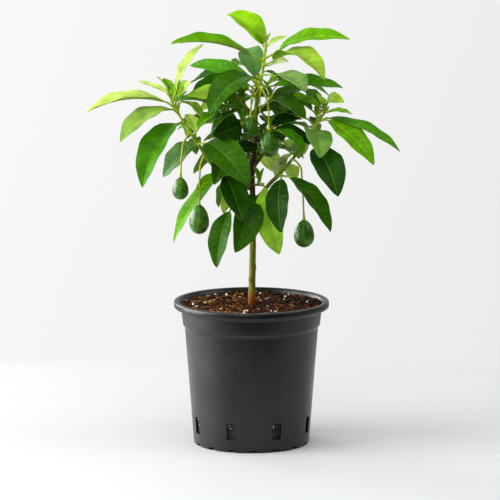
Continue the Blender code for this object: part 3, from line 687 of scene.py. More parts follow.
def bark_relief(points, knots, chance):
    """The bark's relief on a limb: fine ridges along it, pores, and a swelling with a scar at each knot."""
    lift = chance.uniform(0, 50)

    def relief(ring, turn):
        point = points[ring]
        around = Vector((math.cos(turn) * 4, math.sin(turn) * 4, lift))
        ridge = noise.noise(around + Vector((0, 0, point.z * 0.05)))
        pore = noise.noise(around * 1.6 + Vector((0, 0, point.z * 0.9)))
        out = BARK_RIDGE * ridge + BARK_PORE * max(0.0, pore - 0.25)
        for height, bearing, swell in knots:
            apart = (turn - math.radians(bearing) + math.pi) % math.tau - math.pi
            near = bump_at(point.z - height, apart, KNOT_SIZE)
            scar = bump_at(point.z - height + SCAR_BELOW, apart, SCAR_SIZE)
            out += swell * (near - SCAR_SHARE * scar)
        return out

    return relief


limbs = build_limbs()
trunk_points, trunk_radii, _ = limbs["trunk"]
bark = bmesh.new()
chance = random.Random(31)
line, widths = smooth_limb(trunk_points, trunk_radii, BARK_SPACING)
line[0] = line[0] - Vector((0, 0, TRUNK_SUNK))
widths = [min(width, TRUNK_RADIUS) + BARK_THICK for width in widths]
add_tube(bark, line, widths, BARK_SIDES, 0, bark_relief(line, TRUNK_KNOTS, chance))
for name in BOUGHS:
    points, radii, _ = limbs[name]
    start = points[0] - (points[1] - points[0]).normalized() * (TRUNK_RADIUS * BOUGH_SUNK)
    line, widths = smooth_limb([start] + points, [radii[0] + BOUGH_FLARE] + radii, BARK_SPACING)
    scars = [(line[k].z, chance.uniform(0, 360), BOUGH_KNOT) for k in range(6, len(line), 7)]
    add_tube(bark, line, widths, BOUGH_BARK_SIDES, 1, bark_relief(line, scars, chance))


def bark_finish(name, stops, roughness):
    """Bark whose colour changes up the limb by height, with streaks along it."""
    material, tree, shader, place = new_finish(name, Roughness=roughness, IOR=1.45, Specular_IOR_Level=0.2)
    low, high = stops[0][0], stops[-1][0]
    split = add_node(tree, "SeparateXYZ", {}, {"Vector": place})
    wander = add_node(tree, "TexNoise", {"Scale": 90.0, "Detail": 3.0}, {"Vector": place})
    shift = add_node(tree, "MapRange", {"To Min": -0.010, "To Max": 0.010}, {"Value": wander})
    raised = add_node(tree, "Math", {"operation": "ADD"}, {0: split.outputs["Z"], 1: shift})
    height = add_node(tree, "MapRange", {"From Min": low * MM, "From Max": high * MM}, {"Value": raised})
    ramp = add_node(tree, "ValToRGB", {}, {"Fac": height})
    set_stops(ramp, [((at - low) / (high - low), shade) for at, shade in stops])
    greys = ["#8c8c8c", "#ffffff"]
    streaks, grain = blotches(tree, place, 1.3, greys, stretch=(1, 1, 0.12), spread=(0.3, 0.6))
    blend = {"data_type": "RGBA", "blend_type": "MULTIPLY", 0: 0.75}
    mixed = add_node(tree, "Mix", blend, {6: ramp, 7: streaks})
    tree.links.new(mixed.outputs[2], shader.inputs["Base Color"])
    add_relief(tree, shader, grain, 0.25)
    return material


# Colours by height: the trunk from its root collar to the leader, and the boughs
trunk_stops = [
    *[(152, "#8a4710"), (163, "#a8751a"), (172, "#95922a"), (215, "#8f9226"), (240, "#7a7a24")],
    *[(262, "#5d4a20"), (300, "#4a3018"), (325, "#45391a"), (345, "#66801e"), (370, "#8fae22")],
    *[(405, "#a5bb30")],
]
bough_stops = [(262, "#5a4a1c"), (276, "#6b7426"), (300, "#779028"), (330, "#86a62c")]
barks = [
    bark_finish("avocado bark, cork brown to green", trunk_stops, 0.55),
    bark_finish("avocado bark, young and green", bough_stops, 0.5),
]
add_piece("trunk_and_boughs", bark, barks, ["trunk", "bough_left", "bough_right"])

# Growth of the crown: every shoot, twig and back branch is one stem that carries leaves, twigs and fruit. The
# leaves that the front shows are listed, and a seeded rule adds the rest behind them: each turned from the
# last by the golden angle, and left out where it would touch a limb or another shoot.
LEAF_WIDTH = 0.42  # of the blade's length
LEAF_BEND = 46.0  # turned through from root to tip
LEAF_FOLD = 18.0  # each half rises this much from the midrib
LEAF_THINNEST = 0.9
LEAF_THICKNESS = 1 / 85  # of the blade's length
BLADE_STATIONS = (0.0, 0.18, 0.45, 0.75)
PETIOLE_SHARE = 0.20  # of the blade's length
PETIOLE_RISE = 36.0  # of a level leaf
PETIOLE_FOLLOW = 0.75  # how far a petiole follows its leaf's own rise
PETIOLE_RADIUS = 0.95
FRUIT_SIDES = 10
FRUIT_SHAPE = ((0.00, 0.16), (0.12, 0.50), (0.35, 0.84), (0.62, 1.00), (0.86, 0.66))
FRUIT_LIFT = 0.6  # that a fruit's top lies above its stalk's end
STALK_RADIUS = 0.9
STALK_SWELLING = 1.7
TWIG_SIDES = 5
STEM_SPACING = 9.0
TWIG_SPACING = 12.0
SUNK = 2.0  # of a leaf, twig or stalk that lies within its stem
GOLDEN_ANGLE = 137.5
CLEARANCE = 0.8  # kept round a blade that the rule sets among the others
RULE_LEAF_LENGTH = (56.0, 82.0)
RULE_LOWEST_RISE = -46.0  # of a leaf at the stem's foot
RULE_RISE_GAIN = 42.0  # from the foot to the tip
RISE_SCATTER = 14.0
FACE_SCATTER = 20.0
LEAF_PLACES = (0.97, 0.12)  # along the stem, of its first and last leaf
LEAF_TRIES = (0, 12, -12, 24, -24, 36, -36, 50, -50, 70, -70)
LEAF_SHRINK = 0.96  # of its length at each try
TWIG_PLACES = (0.35, 0.85)
TWIG_LEAN = (35.0, 65.0)
TWIG_RISE = (25.0, 45.0)
TWIG_LENGTH = (22.0, 32.0)
TWIG_RADII = (1.1, 0.75)
TWIG_LEAF_PLACES = (0.98, 0.85, 0.71)
TWIG_LEAF_TURN = (45.0, 70.0)


def inner_twig(height, strokes, leaves, rule, foot_radius=1.3, reach=95, **marks):
    """The plan of a small leafy twig on the trunk."""
    plan = dict(limb="trunk", height=height, strokes=strokes, radii=(foot_radius, 0.9), reach=reach)
    return dict(**plan, leaves=leaves, rule=rule, **marks)


def back_branch(height, strokes, seed, bearing, spread, foot_radius=1.8, **marks):
    """The plan of a branch at the back, all of whose leaves and twigs the rule grows."""
    plan = dict(limb="trunk", height=height, strokes=strokes, radii=(foot_radius, 1.0), reach=105)
    rule = dict(seed=seed, leaves=11, twigs=3, bearing=bearing, spread=spread)
    return dict(**plan, leaves=[], rule=rule, **marks)


# A leaf is (look, place along the stem, bearing, rise, length, how far its face is turned to the front),
# then, where they differ from the rule, its petiole's length and rise and how far the blade bends. Its look
# is (colour, underside's colour, blade, width). The blade is what is drawn on the leaf's petiole instead of
# the plain one, from the outline that the leaf shows to the front: (bearing, rise, length, face, bend). A
# fruit is (place, strokes of its stalk, its length and width). Leaves of the rule, by number, are left off or
# half grown where the front shows white through the crown, or have a look of their own, and more leaves are
# drawn where the plain model lacks one.
SHOOTS = {
    "shoot_top": dict(
        limb="trunk",
        strokes=[(0, 79, 26), (0, 83, 22)],
        radii=(1.8, 1.1),
        reach=112,
        leaves=[
            (("spring", "", (140, 30, 58, 15, 65), 1.3), 0.90, 140, 34, 56, 20, 7, 60, 30),
            (("bright", "", (200, 9, 90, 15, 40), 0.8), 0.64, 203, 9, 88, 5, 19, 30),
            (("bright", "bright", (330, 11, 88, 35, 55), 0.6), 0.72, 336, 9, 86, 5, 19, 30),
            (("lime", "", (310, -9, 83, 5, 85), 0.95), 0.58, 322, -13, 78, 0, 15, 22, 84),
            # The cream and pale undersides of the next two leaves are painted light: lighter than an
            # underside, for light that shines through them
            (("cream", "cream", (30, 20, 25, 15, 30), 0.9), 0.92, 311, 38, 30, 0, 7, 48),
            (("pale", "pale", (50, 2, 28, 30, 40), 1.1), 0.56, 59, -3, 46, 0, 18, 0),
            (("soft", "", (100, 24, 58, 15, 45), 1.2), 0.05, 97, 26, 60, 0, 22, 30),
            (("mid", "", (145, 6, 80, 40, 35), 0.6), 0.14, 145, 7, 78, 5, 14, 24),
            (("deep", "", (230, -25, 78, 15, 75), 1.05), 0.24, 227, -27, 76, 25, 14, 18, 36),
            (("mist", "", (305, -13, 58, 0, 40), 1.35), 0.36, 307, -11, 56, 10, 22, 5),
            (("mid", "", (345, 0, 77, 30, 30), 0.7), 0.02, 348, 0, 80, 8, 16, 16),
            (("mid", "mid", (150, -17, 77, -20, 35), 1.1), 0.03, 144, -14, 70, 5, 15, 40),
        ],
        fruit=[
            (0.06, [(200, 20, 7), (250, -75, 34)], 23, 16.5),
            (0.04, [(280, 10, 12), (330, -60, 16), (320, -85, 31)], 30, 20.5),
        ],
        rule=dict(seed=11, leaves=6, twigs=0, bearing=88, spread=45),
        left_off=(12, 13, 14, 15),
        half_grown=(16,),
    ),
    "shoot_left": dict(
        limb="bough_left",
        strokes=[(184, 38, 19), (185, 56, 44), (185, 58, 26), (184, 64, 22)],
        radii=(2.2, 1.0),
        reach=140,
        leaves=[
            (("cream", "", (335, 58, 60, 50, 40), 0.7), 0.92, 323, 57, 56, 0, 14, 66, 12),
            # The bright yellow green of the next two leaves is painted light: sun on them and shining through
            # them
            (("sunlit", "sunlit", (200, 58, 22, -40, 35), 1.3), 1.00, 225, 52, 24, 0, 9, 92),
            (("sunlit", "", (60, 50, 19, 25, 30), 1.4), 0.84, 275, 45, 26, 0, 14, 80),
            (("cream", "pale", (145, 13, 45, 5, 5), 0.6), 0.90, 143, 11, 48, 0, 12, 65),
            (("cream", "", (200, -5, 87, 10, 45), 0.75), 0.84, 201, -7, 90, 0, 16, 34),
            (("dusty", "", (225, -21, 79, 5, 55), 0.95), 0.79, 228, -23, 78, 5, 13, 27),
            (("mid", "", (235, -45, 87, 5, 70), 0.95), 0.67, 235, -43, 84, 5, 15, 8),
            (("deep", "", (140, -40, 62, 65, 30), 1.15), 0.40, 138, -38, 62, 5, 6, 30),
            (("cream",), 0.46, 109, 28, 34, 0, 11, 65),
            (("lime",), 0.80, 55, -31, 42, 0, 13, 60),
            (("cream", "pale"), 0.82, 74, 22, 34, 0, 18, 55),
            (("bright",), 0.52, 46, 22, 40, 0, 11, 48),
            (("deep", "", (310, -28, 81, 30, 70), 1.1), 0.44, 312, -30, 80, 35, 14, 8, 24),
            (("dark", "", (290, -39, 66, 5, 20), 1.05), 0.06, 290, -37, 66, 0, 12, -5),
            (("bright", "", (165, -55, 92, 45, 40), 0.55), 0.02, 158, -52, 92, 5, 6, 0),
        ],
        fruit=[
            (0.55, [(220, -5, 5), (190, -60, 10), (190, -84, 33)], 24.5, 17.5),
            (0.30, [(240, -10, 5), (200, -70, 10), (185, -88, 38)], 32.5, 21.5),
        ],
        rule=dict(seed=23, leaves=7, twigs=1, bearing=85, spread=45),
        left_off=(15, 17, 20),
        half_grown=(18, 19),
        looks={21: ("bright",)},
        more=[(("bright", "", None, 1.15), 0.0, 192, -28, 32, 40)],
    ),
    "shoot_right": dict(
        limb="bough_right",
        strokes=[(356, 50, 28), (356, 52, 14), (356, 60, 20), (356, 55, 26)],
        radii=(2.0, 1.0),
        reach=130,
        leaves=[
            (("deep",), 0.91, 112, 26, 40, 0, 11, 54),
            (("lime", "", (300, 10, 37, 45, 85), 1.05), 0.97, 301, 1, 36, 5, 12, 62),
            (("spring", "", (330, 0, 31, 20, 45), 0.75), 0.94, 325, -1, 32, 5, 7, 36),
            (("mid", "", (335, -21, 88, 5, 30), 0.7), 0.83, 332, -17, 90, 5, 16, 24),
            (("bright", "", (315, -32, 78, 15, 40), 0.85), 0.86, 308, -30, 80, 5, 18, 8),
            (("sage", "", (280, -24, 58, -15, 50), 1.35), 0.64, 280, -23, 62, 0, 13, 40),
            (("dark", "", (295, -40, 70, 10, 55), 1.2), 0.60, 292, -35, 70, 5, 26, -15),
            (("mid",), 0.88, 140, 8, 56, 0, 14, 44),
            (("dark",), 0.78, 140, -13, 58, 0, 15, 33),
            (("dark", "", (270, -54, 64, -25, 45), 1.0), 0.06, 273, -48, 66, 0, 16, -15),
            (("deep", "", (315, -41, 79, 10, 45), 0.8), 0.03, 315, -41, 78, 5, 18, -3),
            (("pale",), 0.07, 74, -29, 50, 0, 12, 29),
        ],
        fruit=[(0.27, [(320, 8, 5), (340, -48, 10), (345, -86, 57)], 30.5, 22)],
        rule=dict(seed=37, leaves=7, twigs=1, bearing=90, spread=45),
        left_off=(17, 20),
        half_grown=(14, 15, 16, 18, 19),
        looks={14: ("bright",), 19: ("pale", "pale")},
    ),
    "twig_upper_right": inner_twig(
        362.0,
        [(350, 0, 3), (350, 52, 17)],
        [(("deep",), 0.80, 25, 8, 44, 20, 5, 45), (("deep",), 0.84, 308, -14, 60, 10, 5, 26)],
        dict(seed=41, leaves=3, twigs=0, bearing=50, spread=50),
        half_grown=(2,),
        looks={3: ("bright",), 4: ("mid",)},
    ),
    "twig_upper_left": inner_twig(
        360.0,
        [(165, 0, 3), (160, 52, 16)],
        [(("mid",), 0.75, 105, -25, 50, 0, 11, 50), (("mid",), 0.16, 132, -6, 60, 0, 5, 0)],
        dict(seed=43, leaves=3, twigs=0, bearing=130, spread=40),
        more=[(("lime", "", None, 1.0), 1.0, 172, 4, 56, 35)],
    ),
    "twig_mid_right": inner_twig(
        334.0,
        [(345, 0, 3), (355, 38, 14)],
        [
            (("dark", "", (20, 13, 40, 25, 60), 1.1), 0.60, 43, -15, 62, 0, 6, 40),
            # This leaf's shade colour is a painted shadow: the crown's shade falling on it
            (("shade",), 1.00, 200, -2, 36, 55, 17, -65),
        ],
        dict(seed=47, leaves=3, twigs=0, bearing=40, spread=40),
        left_off=(2,),
        looks={4: ("dark", "", (342, -14, 46, 25, 60), 1.25)},
    ),
    "twig_mid_left": inner_twig(
        340.0,
        [(190, 0, 3), (190, 40, 10)],
        [(("dark", "", (230, -7, 48, 75, 5), 1.5), 0.90, 239, -18, 48, 0, 6, 20)],
        dict(seed=53, leaves=3, twigs=0, bearing=140, spread=40),
        half_grown=(2,),
    ),
    "twig_low_left": inner_twig(
        269.0,
        [(215, 0, 3), (205, 0, 14)],
        [
            (("deep", "", (255, -48, 75, 40, 60), 1.15), 0.12, 258, -48, 76, 12, 9, 32),
            (("deep",), 0.95, 243, -62, 64, 0, 21, -35),
            (("pale",), 0.85, 112, -36, 42, 0),
        ],
        dict(seed=59, leaves=1, twigs=0, bearing=110, spread=20),
        foot_radius=1.4,
        reach=100,
        left_off=(3,),
    ),
    "twig_low_right": inner_twig(
        283.0,
        [(300, 0, 3), (310, 10, 8)],
        [
            # This leaf's bright yellow green is painted light: the glow of light shining through it
            (("sunlit", "", (320, -74, 73, 65, 45), 1.0), 0.50, 320, -75, 73, 30, 12, -11),
            (("deep",), 0.90, 230, -20, 24, 0, 10, 60),
        ],
        dict(seed=61, leaves=0, twigs=0, bearing=330, spread=30),
        reach=100,
    ),
    "branch_back_low": back_branch(
        292.0, [(80, 0, 3), (80, 30, 40), (75, 45, 20)], 67, 85, 110, left_off=(11,), half_grown=(5,)
    ),
    "branch_back_left": back_branch(
        312.0, [(125, 0, 3), (120, 35, 44), (115, 50, 22)], 71, 115, 100, looks={0: ("mid",), 1: ("bright",)}
    ),
    "branch_back_right": back_branch(
        302.0, [(55, 0, 3), (60, 32, 44), (60, 50, 22)], 73, 65, 100, half_grown=(3,)
    ),
    "branch_back_top": back_branch(
        352.0,
        [(90, 0, 3), (88, 40, 44), (95, 60, 20)],
        *(79, 90, 110, 1.6),
        left_off=(5, 6, 8, 9),
        half_grown=(1, 11),
    ),
}


def skin(rings):
    """A closed solid through rings of points. Its last ring is a single point where it tapers to a tip."""
    solid = bmesh.new()
    rows = [[solid.verts.new(point) for point in ring] for ring in rings]
    for low, high in zip(rows, rows[1:]):
        count = len(low)
        for i in range(count):
            j = (i + 1) % count
            if len(high) == 1:
                solid.faces.new((low[i], low[j], high[0]))
            elif i % 2 == 0:
                solid.faces.new((low[i], low[j], high[j]))
                solid.faces.new((low[i], high[j], high[i]))
            else:
                solid.faces.new((low[i], low[j], high[i]))
                solid.faces.new((low[j], high[j], high[i]))
    solid.faces.new(rows[0])
    if len(rows[-1]) > 1:
        solid.faces.new(rows[-1])
    bmesh.ops.recalc_face_normals(solid, faces=solid.faces)
    return solid


def tube_rings(points, radii, sides):
    """Rings round a run of points, one radius for each."""
    turns = [math.tau * k / sides for k in range(sides)]
    return [
        [point + (side * math.cos(a) + square * math.sin(a)) * radius for a in turns]
        for point, radius, (side, square) in zip(points, radii, crosswise(points))
    ]


def blade_half_width(place, length):
    """Half the width of a blade at a share of the way to its tip: an ellipse with an acute tip."""
    return 0.5 * LEAF_WIDTH * length * math.sin(math.pi * place**0.9) ** 0.85


def face_turn(bearing, rise, face):
    """The turn of a blade's face to the front, about the line from its joint to its tip."""
    face = face if math.cos(math.radians(bearing)) >= 0 else -face
    return Matrix.Rotation(math.radians(face), 3, heading(bearing, rise))


def leaf_rings(root, leaf, grown=0.0):
    """Rings of four points, edge, top, edge and underside, from a leaf's root to its tip.

    grown makes the leaf that much bigger all round, for testing what it would touch.
    """
    bearing, rise, length, face, stalk, stalk_rise, bend = leaf
    joint = root + heading(bearing, stalk_rise) * stalk
    level = heading(bearing + 90, 0)
    upright = heading(bearing, stalk_rise + 90)
    radius = PETIOLE_RADIUS + grown
    rings = [[root + level * radius, root + upright * radius, root - level * radius, root - upright * radius]]
    turn = face_turn(bearing, rise, face)
    thick = 0.5 * max(LEAF_THINNEST, LEAF_THICKNESS * length) + grown
    fold = math.radians(LEAF_FOLD)
    spine = blade_spine(rise, bearing, length, bend, BLADE_STATIONS + (1.0,))
    for place, (offset, angle) in zip(BLADE_STATIONS, spine):
        half = max(blade_half_width(place, length), PETIOLE_RADIUS) + grown
        normal = heading(bearing, angle + 90)
        lift = normal * (half * math.sin(fold)) if place else normal * 0
        reach = level * (half * math.cos(fold))
        edges = [offset + lift + reach, offset + lift - reach]
        local = [edges[0], offset + normal * thick, edges[1], offset - normal * thick]
        rings.append([joint + turn @ point for point in local])
    rings.append([joint + turn @ (spine[-1][0] + heading(bearing, rise) * grown)])
    return rings


def blade_spine(rise, bearing, length, bend, stations):
    """The midrib's point and slope at each station: an arc whose chord has the leaf's rise and length."""
    bend = math.radians(bend)
    arc = length * (bend / 2) / math.sin(bend / 2)
    radius = arc / bend
    spine = []
    for place in stations:
        turned = bend * place
        chord = 2 * radius * math.sin(turned / 2)
        chord_rise = rise + math.degrees(bend / 2 - turned / 2)
        spine.append((heading(bearing, chord_rise) * chord, rise + math.degrees(bend / 2 - turned)))
    return spine


def whole_leaf(entry):
    """A leaf's values from its entry after the place, with the petiole and the bend that the rule gives."""
    by_rule = (PETIOLE_SHARE * entry[2], PETIOLE_RISE + PETIOLE_FOLLOW * entry[1], LEAF_BEND)
    return (*entry, *by_rule[len(entry) - 4 :])


def surface(rings):
    """A search tree over the solid through rings, for finding what would touch it."""
    solid = skin(rings)
    tree = BVHTree.FromBMesh(solid)
    solid.free()
    return tree


def tube_surface(points, radii, sides, foot_left_off=0.0):
    """A search tree over a tube grown by the gap, without the first stretch where it is sunk in its stem."""
    first = points[0] + (points[1] - points[0]).normalized() * foot_left_off
    return surface(tube_rings([first] + points[1:], [radius + GAP for radius in radii], sides))


def fruit_rings(top, length, width):
    """Rings of a hanging pear-shaped fruit, from its stalk end down."""
    rings = []
    for place, share in FRUIT_SHAPE:
        centre = top - Vector((0, 0, place * length))
        turns = [math.tau * k / FRUIT_SIDES for k in range(FRUIT_SIDES)]
        rings.append([centre + Vector((math.cos(a), math.sin(a), 0)) * (share * width / 2) for a in turns])
    rings.append([top - Vector((0, 0, length))])
    return rings


class Growth:
    """One shoot while it grows: its stem, all that it carries, and what they may not touch."""

    def __init__(self, name, plan, foot):
        self.name = name
        self.plan = plan
        self.stem = route(foot, plan["strokes"], STEM_SPACING)
        self.centre = along(self.stem, 0.5)
        self.wood = [tube_surface(self.stem, tapered(self.stem, *plan["radii"]), TWIG_SIDES)]
        self.blades = []
        self.leaves = []
        self.fruit = []
        self.set_leaves = []
        self.twigs = []
        self.hung = []

    def holds(self, rings):
        """Whether rings stay in this mass's own space."""
        return all((point - self.centre).length < self.plan["reach"] for ring in rings for point in ring)

    def add_leaf(self, root, leaf, others, clear, look=None):
        """Adds a leaf unless it would leave the space or touch a limb, a fruit, a blade or another mass."""
        rings = leaf_rings(root, leaf)
        blade = surface(leaf_rings(root, leaf, clear)[1:])
        entire = surface(leaf_rings(root + heading(leaf[0], leaf[5]) * SUNK, leaf, GAP))
        if any(entire.overlap(tree) or blade.overlap(tree) for tree in others):
            return False
        if any(blade.overlap(tree) for tree in self.blades + self.fruit) or not self.holds(rings):
            return False
        self.set_leaves.append((root, leaf, look))
        self.blades.append(blade)
        self.leaves.append(entire)
        return True

    def add_fruit(self, place, strokes, length, width):
        """Hangs a fruit on a stalk that thickens where it meets the fruit."""
        root = along(self.stem, place)
        points = route(root, strokes, STEM_SPACING)
        radii = [STALK_RADIUS] * (len(points) - 1) + [STALK_SWELLING]
        sunk = points[-1] - Vector((0, 0, 3))
        body = fruit_rings(points[-1] + Vector((0, 0, FRUIT_LIFT)), length, width)
        self.hung.append((points, length, width))
        self.fruit += [tube_surface(points + [sunk], radii + [STALK_RADIUS], TWIG_SIDES, SUNK), surface(body)]

    def trees(self):
        """Every search tree of this mass."""
        return self.wood + self.leaves + self.fruit


def mass_foot(plan, limbs):
    """Where a mass's stem starts: on the trunk's side at a height, or on its limb's tip."""
    points, radii, _ = limbs[plan["limb"]]
    if "height" in plan:
        return side_foot(points, radii, plan["height"], plan["strokes"][0][0])
    return points[-1] + (points[-1] - points[-2]).normalized() * GAP


def grow_by_rule(growth, others):
    """Leaves and twigs along a stem, each turned from the last by the golden angle, with some scatter."""
    rule = growth.plan["rule"]
    chance = random.Random(rule["seed"])
    first, last = TWIG_PLACES
    for number in range(rule["twigs"]):
        root = along(growth.stem, first + (last - first) * number / rule["twigs"])
        lean = rule["bearing"] + (-1) ** number * chance.uniform(*TWIG_LEAN)
        points = route(root, [(lean, chance.uniform(*TWIG_RISE), chance.uniform(*TWIG_LENGTH))], TWIG_SPACING)
        radii = tapered(points, *TWIG_RADII)
        tree = tube_surface(points, radii, TWIG_SIDES, SUNK)
        if any(tree.overlap(other) for other in others + growth.blades):
            continue
        growth.twigs.append((points, radii))
        growth.wood.append(tree)
        for side, place in zip((-1, 0, 1), TWIG_LEAF_PLACES):
            turned = lean + side * chance.uniform(*TWIG_LEAF_TURN)
            grow_leaf(growth, along(points, place), turned, 0.8, chance, others)
    bearing = rule["bearing"]
    first, last = LEAF_PLACES
    for number in range(rule["leaves"]):
        place = first + (last - first) * number / rule["leaves"]
        bearing += GOLDEN_ANGLE
        offset = (bearing - rule["bearing"] + 180) % 360 - 180
        turned = rule["bearing"] + offset * rule["spread"] / 180
        grow_leaf(growth, along(growth.stem, place), turned, place, chance, others)


def grow_leaf(growth, root, bearing, place, chance, others):
    """One leaf of the rule: the higher its node, the flatter it lies. It turns until it finds free space."""
    length = chance.uniform(*RULE_LEAF_LENGTH)
    for turn in LEAF_TRIES:
        rise = RULE_LOWEST_RISE + RULE_RISE_GAIN * place + chance.uniform(-RISE_SCATTER, RISE_SCATTER)
        entry = (bearing + turn, rise, length, chance.uniform(-FACE_SCATTER, FACE_SCATTER))
        length *= LEAF_SHRINK
        if growth.add_leaf(root, whole_leaf(entry), others, CLEARANCE):
            return


def grow_plant(limbs):
    """All masses: first the leaves and fruit that are listed, then what the rule adds behind them."""
    limb_trees = [tube_surface(points, radii, sides) for points, radii, sides in limbs.values()]
    masses = [Growth(name, plan, mass_foot(plan, limbs)) for name, plan in SHOOTS.items()]

    def neighbours(own):
        return limb_trees + [tree for mass in masses if mass is not own for tree in mass.trees()]

    for mass in masses:
        for fruit in mass.plan.get("fruit", []):
            mass.add_fruit(*fruit)
    for mass in masses:
        for look, place, *entry in mass.plan["leaves"]:
            mass.add_leaf(along(mass.stem, place), whole_leaf(entry), neighbours(mass), GAP, look)
    for mass in masses:
        grow_by_rule(mass, neighbours(mass))
    return masses


shoots = grow_plant(limbs)

# Leaf blades: thin and leathery, folded a little along a pale midrib, with nine pairs of side veins that sink
# into the glossy upper face and stand out of the dull, paler underside. The margin waves a little. Each blade
# is one closed shell from a flat pattern whose rows run along the side veins.
VEIN_PAIRS = 9
VEIN_FIRST = 0.07
VEIN_LAST = 0.87
VEIN_HALF = 0.0036  # of the blade's length
VEIN_SLANT = 0.115
VEIN_SINK = 0.07
PUFF = 0.10  # of the blade between its veins
COLUMNS = (0.026, 0.19, 0.38, 0.60, 0.82, 1.0)  # across half the blade, the first at the midrib's edge
BLADE_THICK = (0.85, 0.38)  # at the midrib and at the margin
BLADE_NARROWEST = 0.35  # half the width, at the root and the tip
BLADE_WIDTHS = (0.98, 1.06)
FOLD_SCATTER = (-3, 6)
WAVE = 0.9
WAVE_COUNT = (2.2, 3.6)
GROWN_LENGTH = 60.0  # from which a leaf has its whole thickness
HALF_GROWN = 0.6  # of its full length
UPPER, MIDRIB, VEIN, UNDER = range(4)
# Each leaf colour with its age and the colour that its side veins take
LEAF_COLOURS = {
    "cream": ("#bcd964", "young", "cream"),
    "lime": ("#92bc2e", "young", "cream"),
    "spring": ("#86c106", "young", "lime"),
    "bright": ("#5c9c02", "young", "spring"),
    "mid": ("#458802", "full", "bright"),
    "deep": ("#305f02", "full", "mid"),
    "dark": ("#1c4802", "full", "deep"),
    # shade is a painted shadow: a green darker than dark, for a leaf in the crown's shade
    "shade": ("#183404", "full", "dark"),
    # sage and mist are partly the leaves' own grey green and partly painted sheen: the grey that gloss lends
    # a leaf
    "sage": ("#6d9a3c", "full", "sage"),
    "mist": ("#8bae5a", "full", "mist"),
    "dusty": ("#80a444", "young", "lime"),
    "pale": ("#bcd48c", "young", "pale"),
    # Painted light: a bright yellow green for leaves that glow with light falling on them and passing through
    # them
    "sunlit": ("#a8e23c", "young", "cream"),
    # soft is partly a dull dark green and partly painted sheen: the grey of gloss on a dark leaf
    "soft": ("#52803a", "full", "sage"),
}
LEAF_GLOSS = {"young": (0.42, 0.05), "full": (0.36, 0.08)}  # roughness and specular level
MIDRIB_COLOURS = {"young": "#a8cc3c", "full": "#628c26"}
UNDER_COLOURS = {"young": "#a6cf44", "full": "#6f9a36"}
OUT_OF_SIGHT = ("mid", "deep", "mid", "dark", "bright", "deep")
# Young leaves at the shoot tips, still small and upright round the bud: (bearing, rise, length)
TIP_LEAVES = [(20, 64, 15), (150, 58, 19), (95, 66, 13)]
TIP_PETIOLE = (2.5, 75, 35)  # its length and rise, and the blade's bend
CROWN_PARTS = {
    "leaves_leader": ["shoot_top"],
    "leaves_left_shoot": ["shoot_left"],
    "leaves_right_shoot": ["shoot_right"],
    "leaves_inner_twigs": [name for name in SHOOTS if name.startswith("twig")],
    "leaves_back_branches": [name for name in SHOOTS if name.startswith("branch")],
}

# Rows of the pattern: place along the blade, how far to either side of a vein, and height
pattern_rows = [(0.0, 0.0, 0.0), (0.035, 0.0, 0.3)]
vein_step = (VEIN_LAST - VEIN_FIRST) / (VEIN_PAIRS - 1)
for number in range(VEIN_PAIRS):
    middle = VEIN_FIRST + vein_step * number
    pattern_rows += [(middle, -VEIN_HALF, 0.0), (middle, 0.0, -VEIN_SINK), (middle, VEIN_HALF, 0.0)]
    pattern_rows += [(middle + vein_step / 2, 0.0, PUFF)]
pattern_rows += [(0.955, 0.0, 0.1), (0.985, 0.0, 0.0), (1.0, 0.0, 0.0)]
pattern_columns = [-c for c in reversed(COLUMNS)] + [0.0] + list(COLUMNS)


def blade_pattern():
    """A blade's closed flat shell. Its points hold row, column and layer, its faces their kind."""
    flat = bmesh.new()
    rows, columns = len(pattern_rows) - 1, len(pattern_columns) - 1
    bmesh.ops.create_grid(flat, x_segments=rows, y_segments=columns, size=0.5)
    for vert in flat.verts:
        vert.co = (round((vert.co.x + 0.5) * rows), round((vert.co.y + 0.5) * columns), 0)
    raised = bmesh.ops.extrude_face_region(flat, geom=flat.faces[:], use_keep_orig=True)
    for part in raised["geom"]:
        if isinstance(part, bmesh.types.BMVert):
            part.co.z = 1
    bmesh.ops.recalc_face_normals(flat, faces=flat.faces)
    for face in flat.faces:
        centre = face.calc_center_median()
        on_vein = pattern_rows[int(centre.x)][0] == pattern_rows[math.ceil(centre.x)][0]
        side = abs(pattern_columns[int(centre.y)] + pattern_columns[math.ceil(centre.y)]) / 2
        kind = MIDRIB if side < COLUMNS[0] else VEIN if on_vein and side < COLUMNS[-2] else UPPER
        face.material_index = kind if centre.z > 0.9 else UNDER
    return as_mesh("blade_pattern", flat)


blade_mesh = blade_pattern()
blade_kinds = np.empty(len(blade_mesh.polygons), dtype=np.int32)
blade_mesh.polygons.foreach_get("material_index", blade_kinds)
row_index, column_index, blade_layer = mesh_points(blade_mesh).T
row_place, row_beside, row_puff = np.array(pattern_rows)[np.rint(row_index).astype(int)].T
blade_side = np.array(pattern_columns)[np.rint(column_index).astype(int)]
outward = np.abs(blade_side)
along_blade = row_place + row_beside * (1 - 0.6 * outward)
blade_place = along_blade + VEIN_SLANT * outward**1.15 * np.sin(np.pi * along_blade) ** 0.9
blade_puff = row_puff * np.minimum(1.0, 4.5 * outward) * (1 - 0.8 * outward**2)


def headings(bearing, rises):
    """Unit vectors for one bearing and many rises in degrees."""
    across, up = math.radians(bearing), np.radians(rises)
    return np.stack([np.cos(up) * math.cos(across), np.cos(up) * math.sin(across), np.sin(up)], axis=1)


def midrib_line(blade, places):
    """The midrib's points from the blade's joint, and the upward direction of the blade at each."""
    bearing, rise, length, _, bend = blade
    arc = math.radians(bend)
    radius = length / 2 / math.sin(arc / 2)
    turned = arc * places
    chord = 2 * radius * np.sin(turned / 2)
    line = headings(bearing, rise + np.degrees(arc / 2 - turned / 2)) * chord[:, None]
    return line, headings(bearing, rise + np.degrees(arc / 2 - turned) + 90)


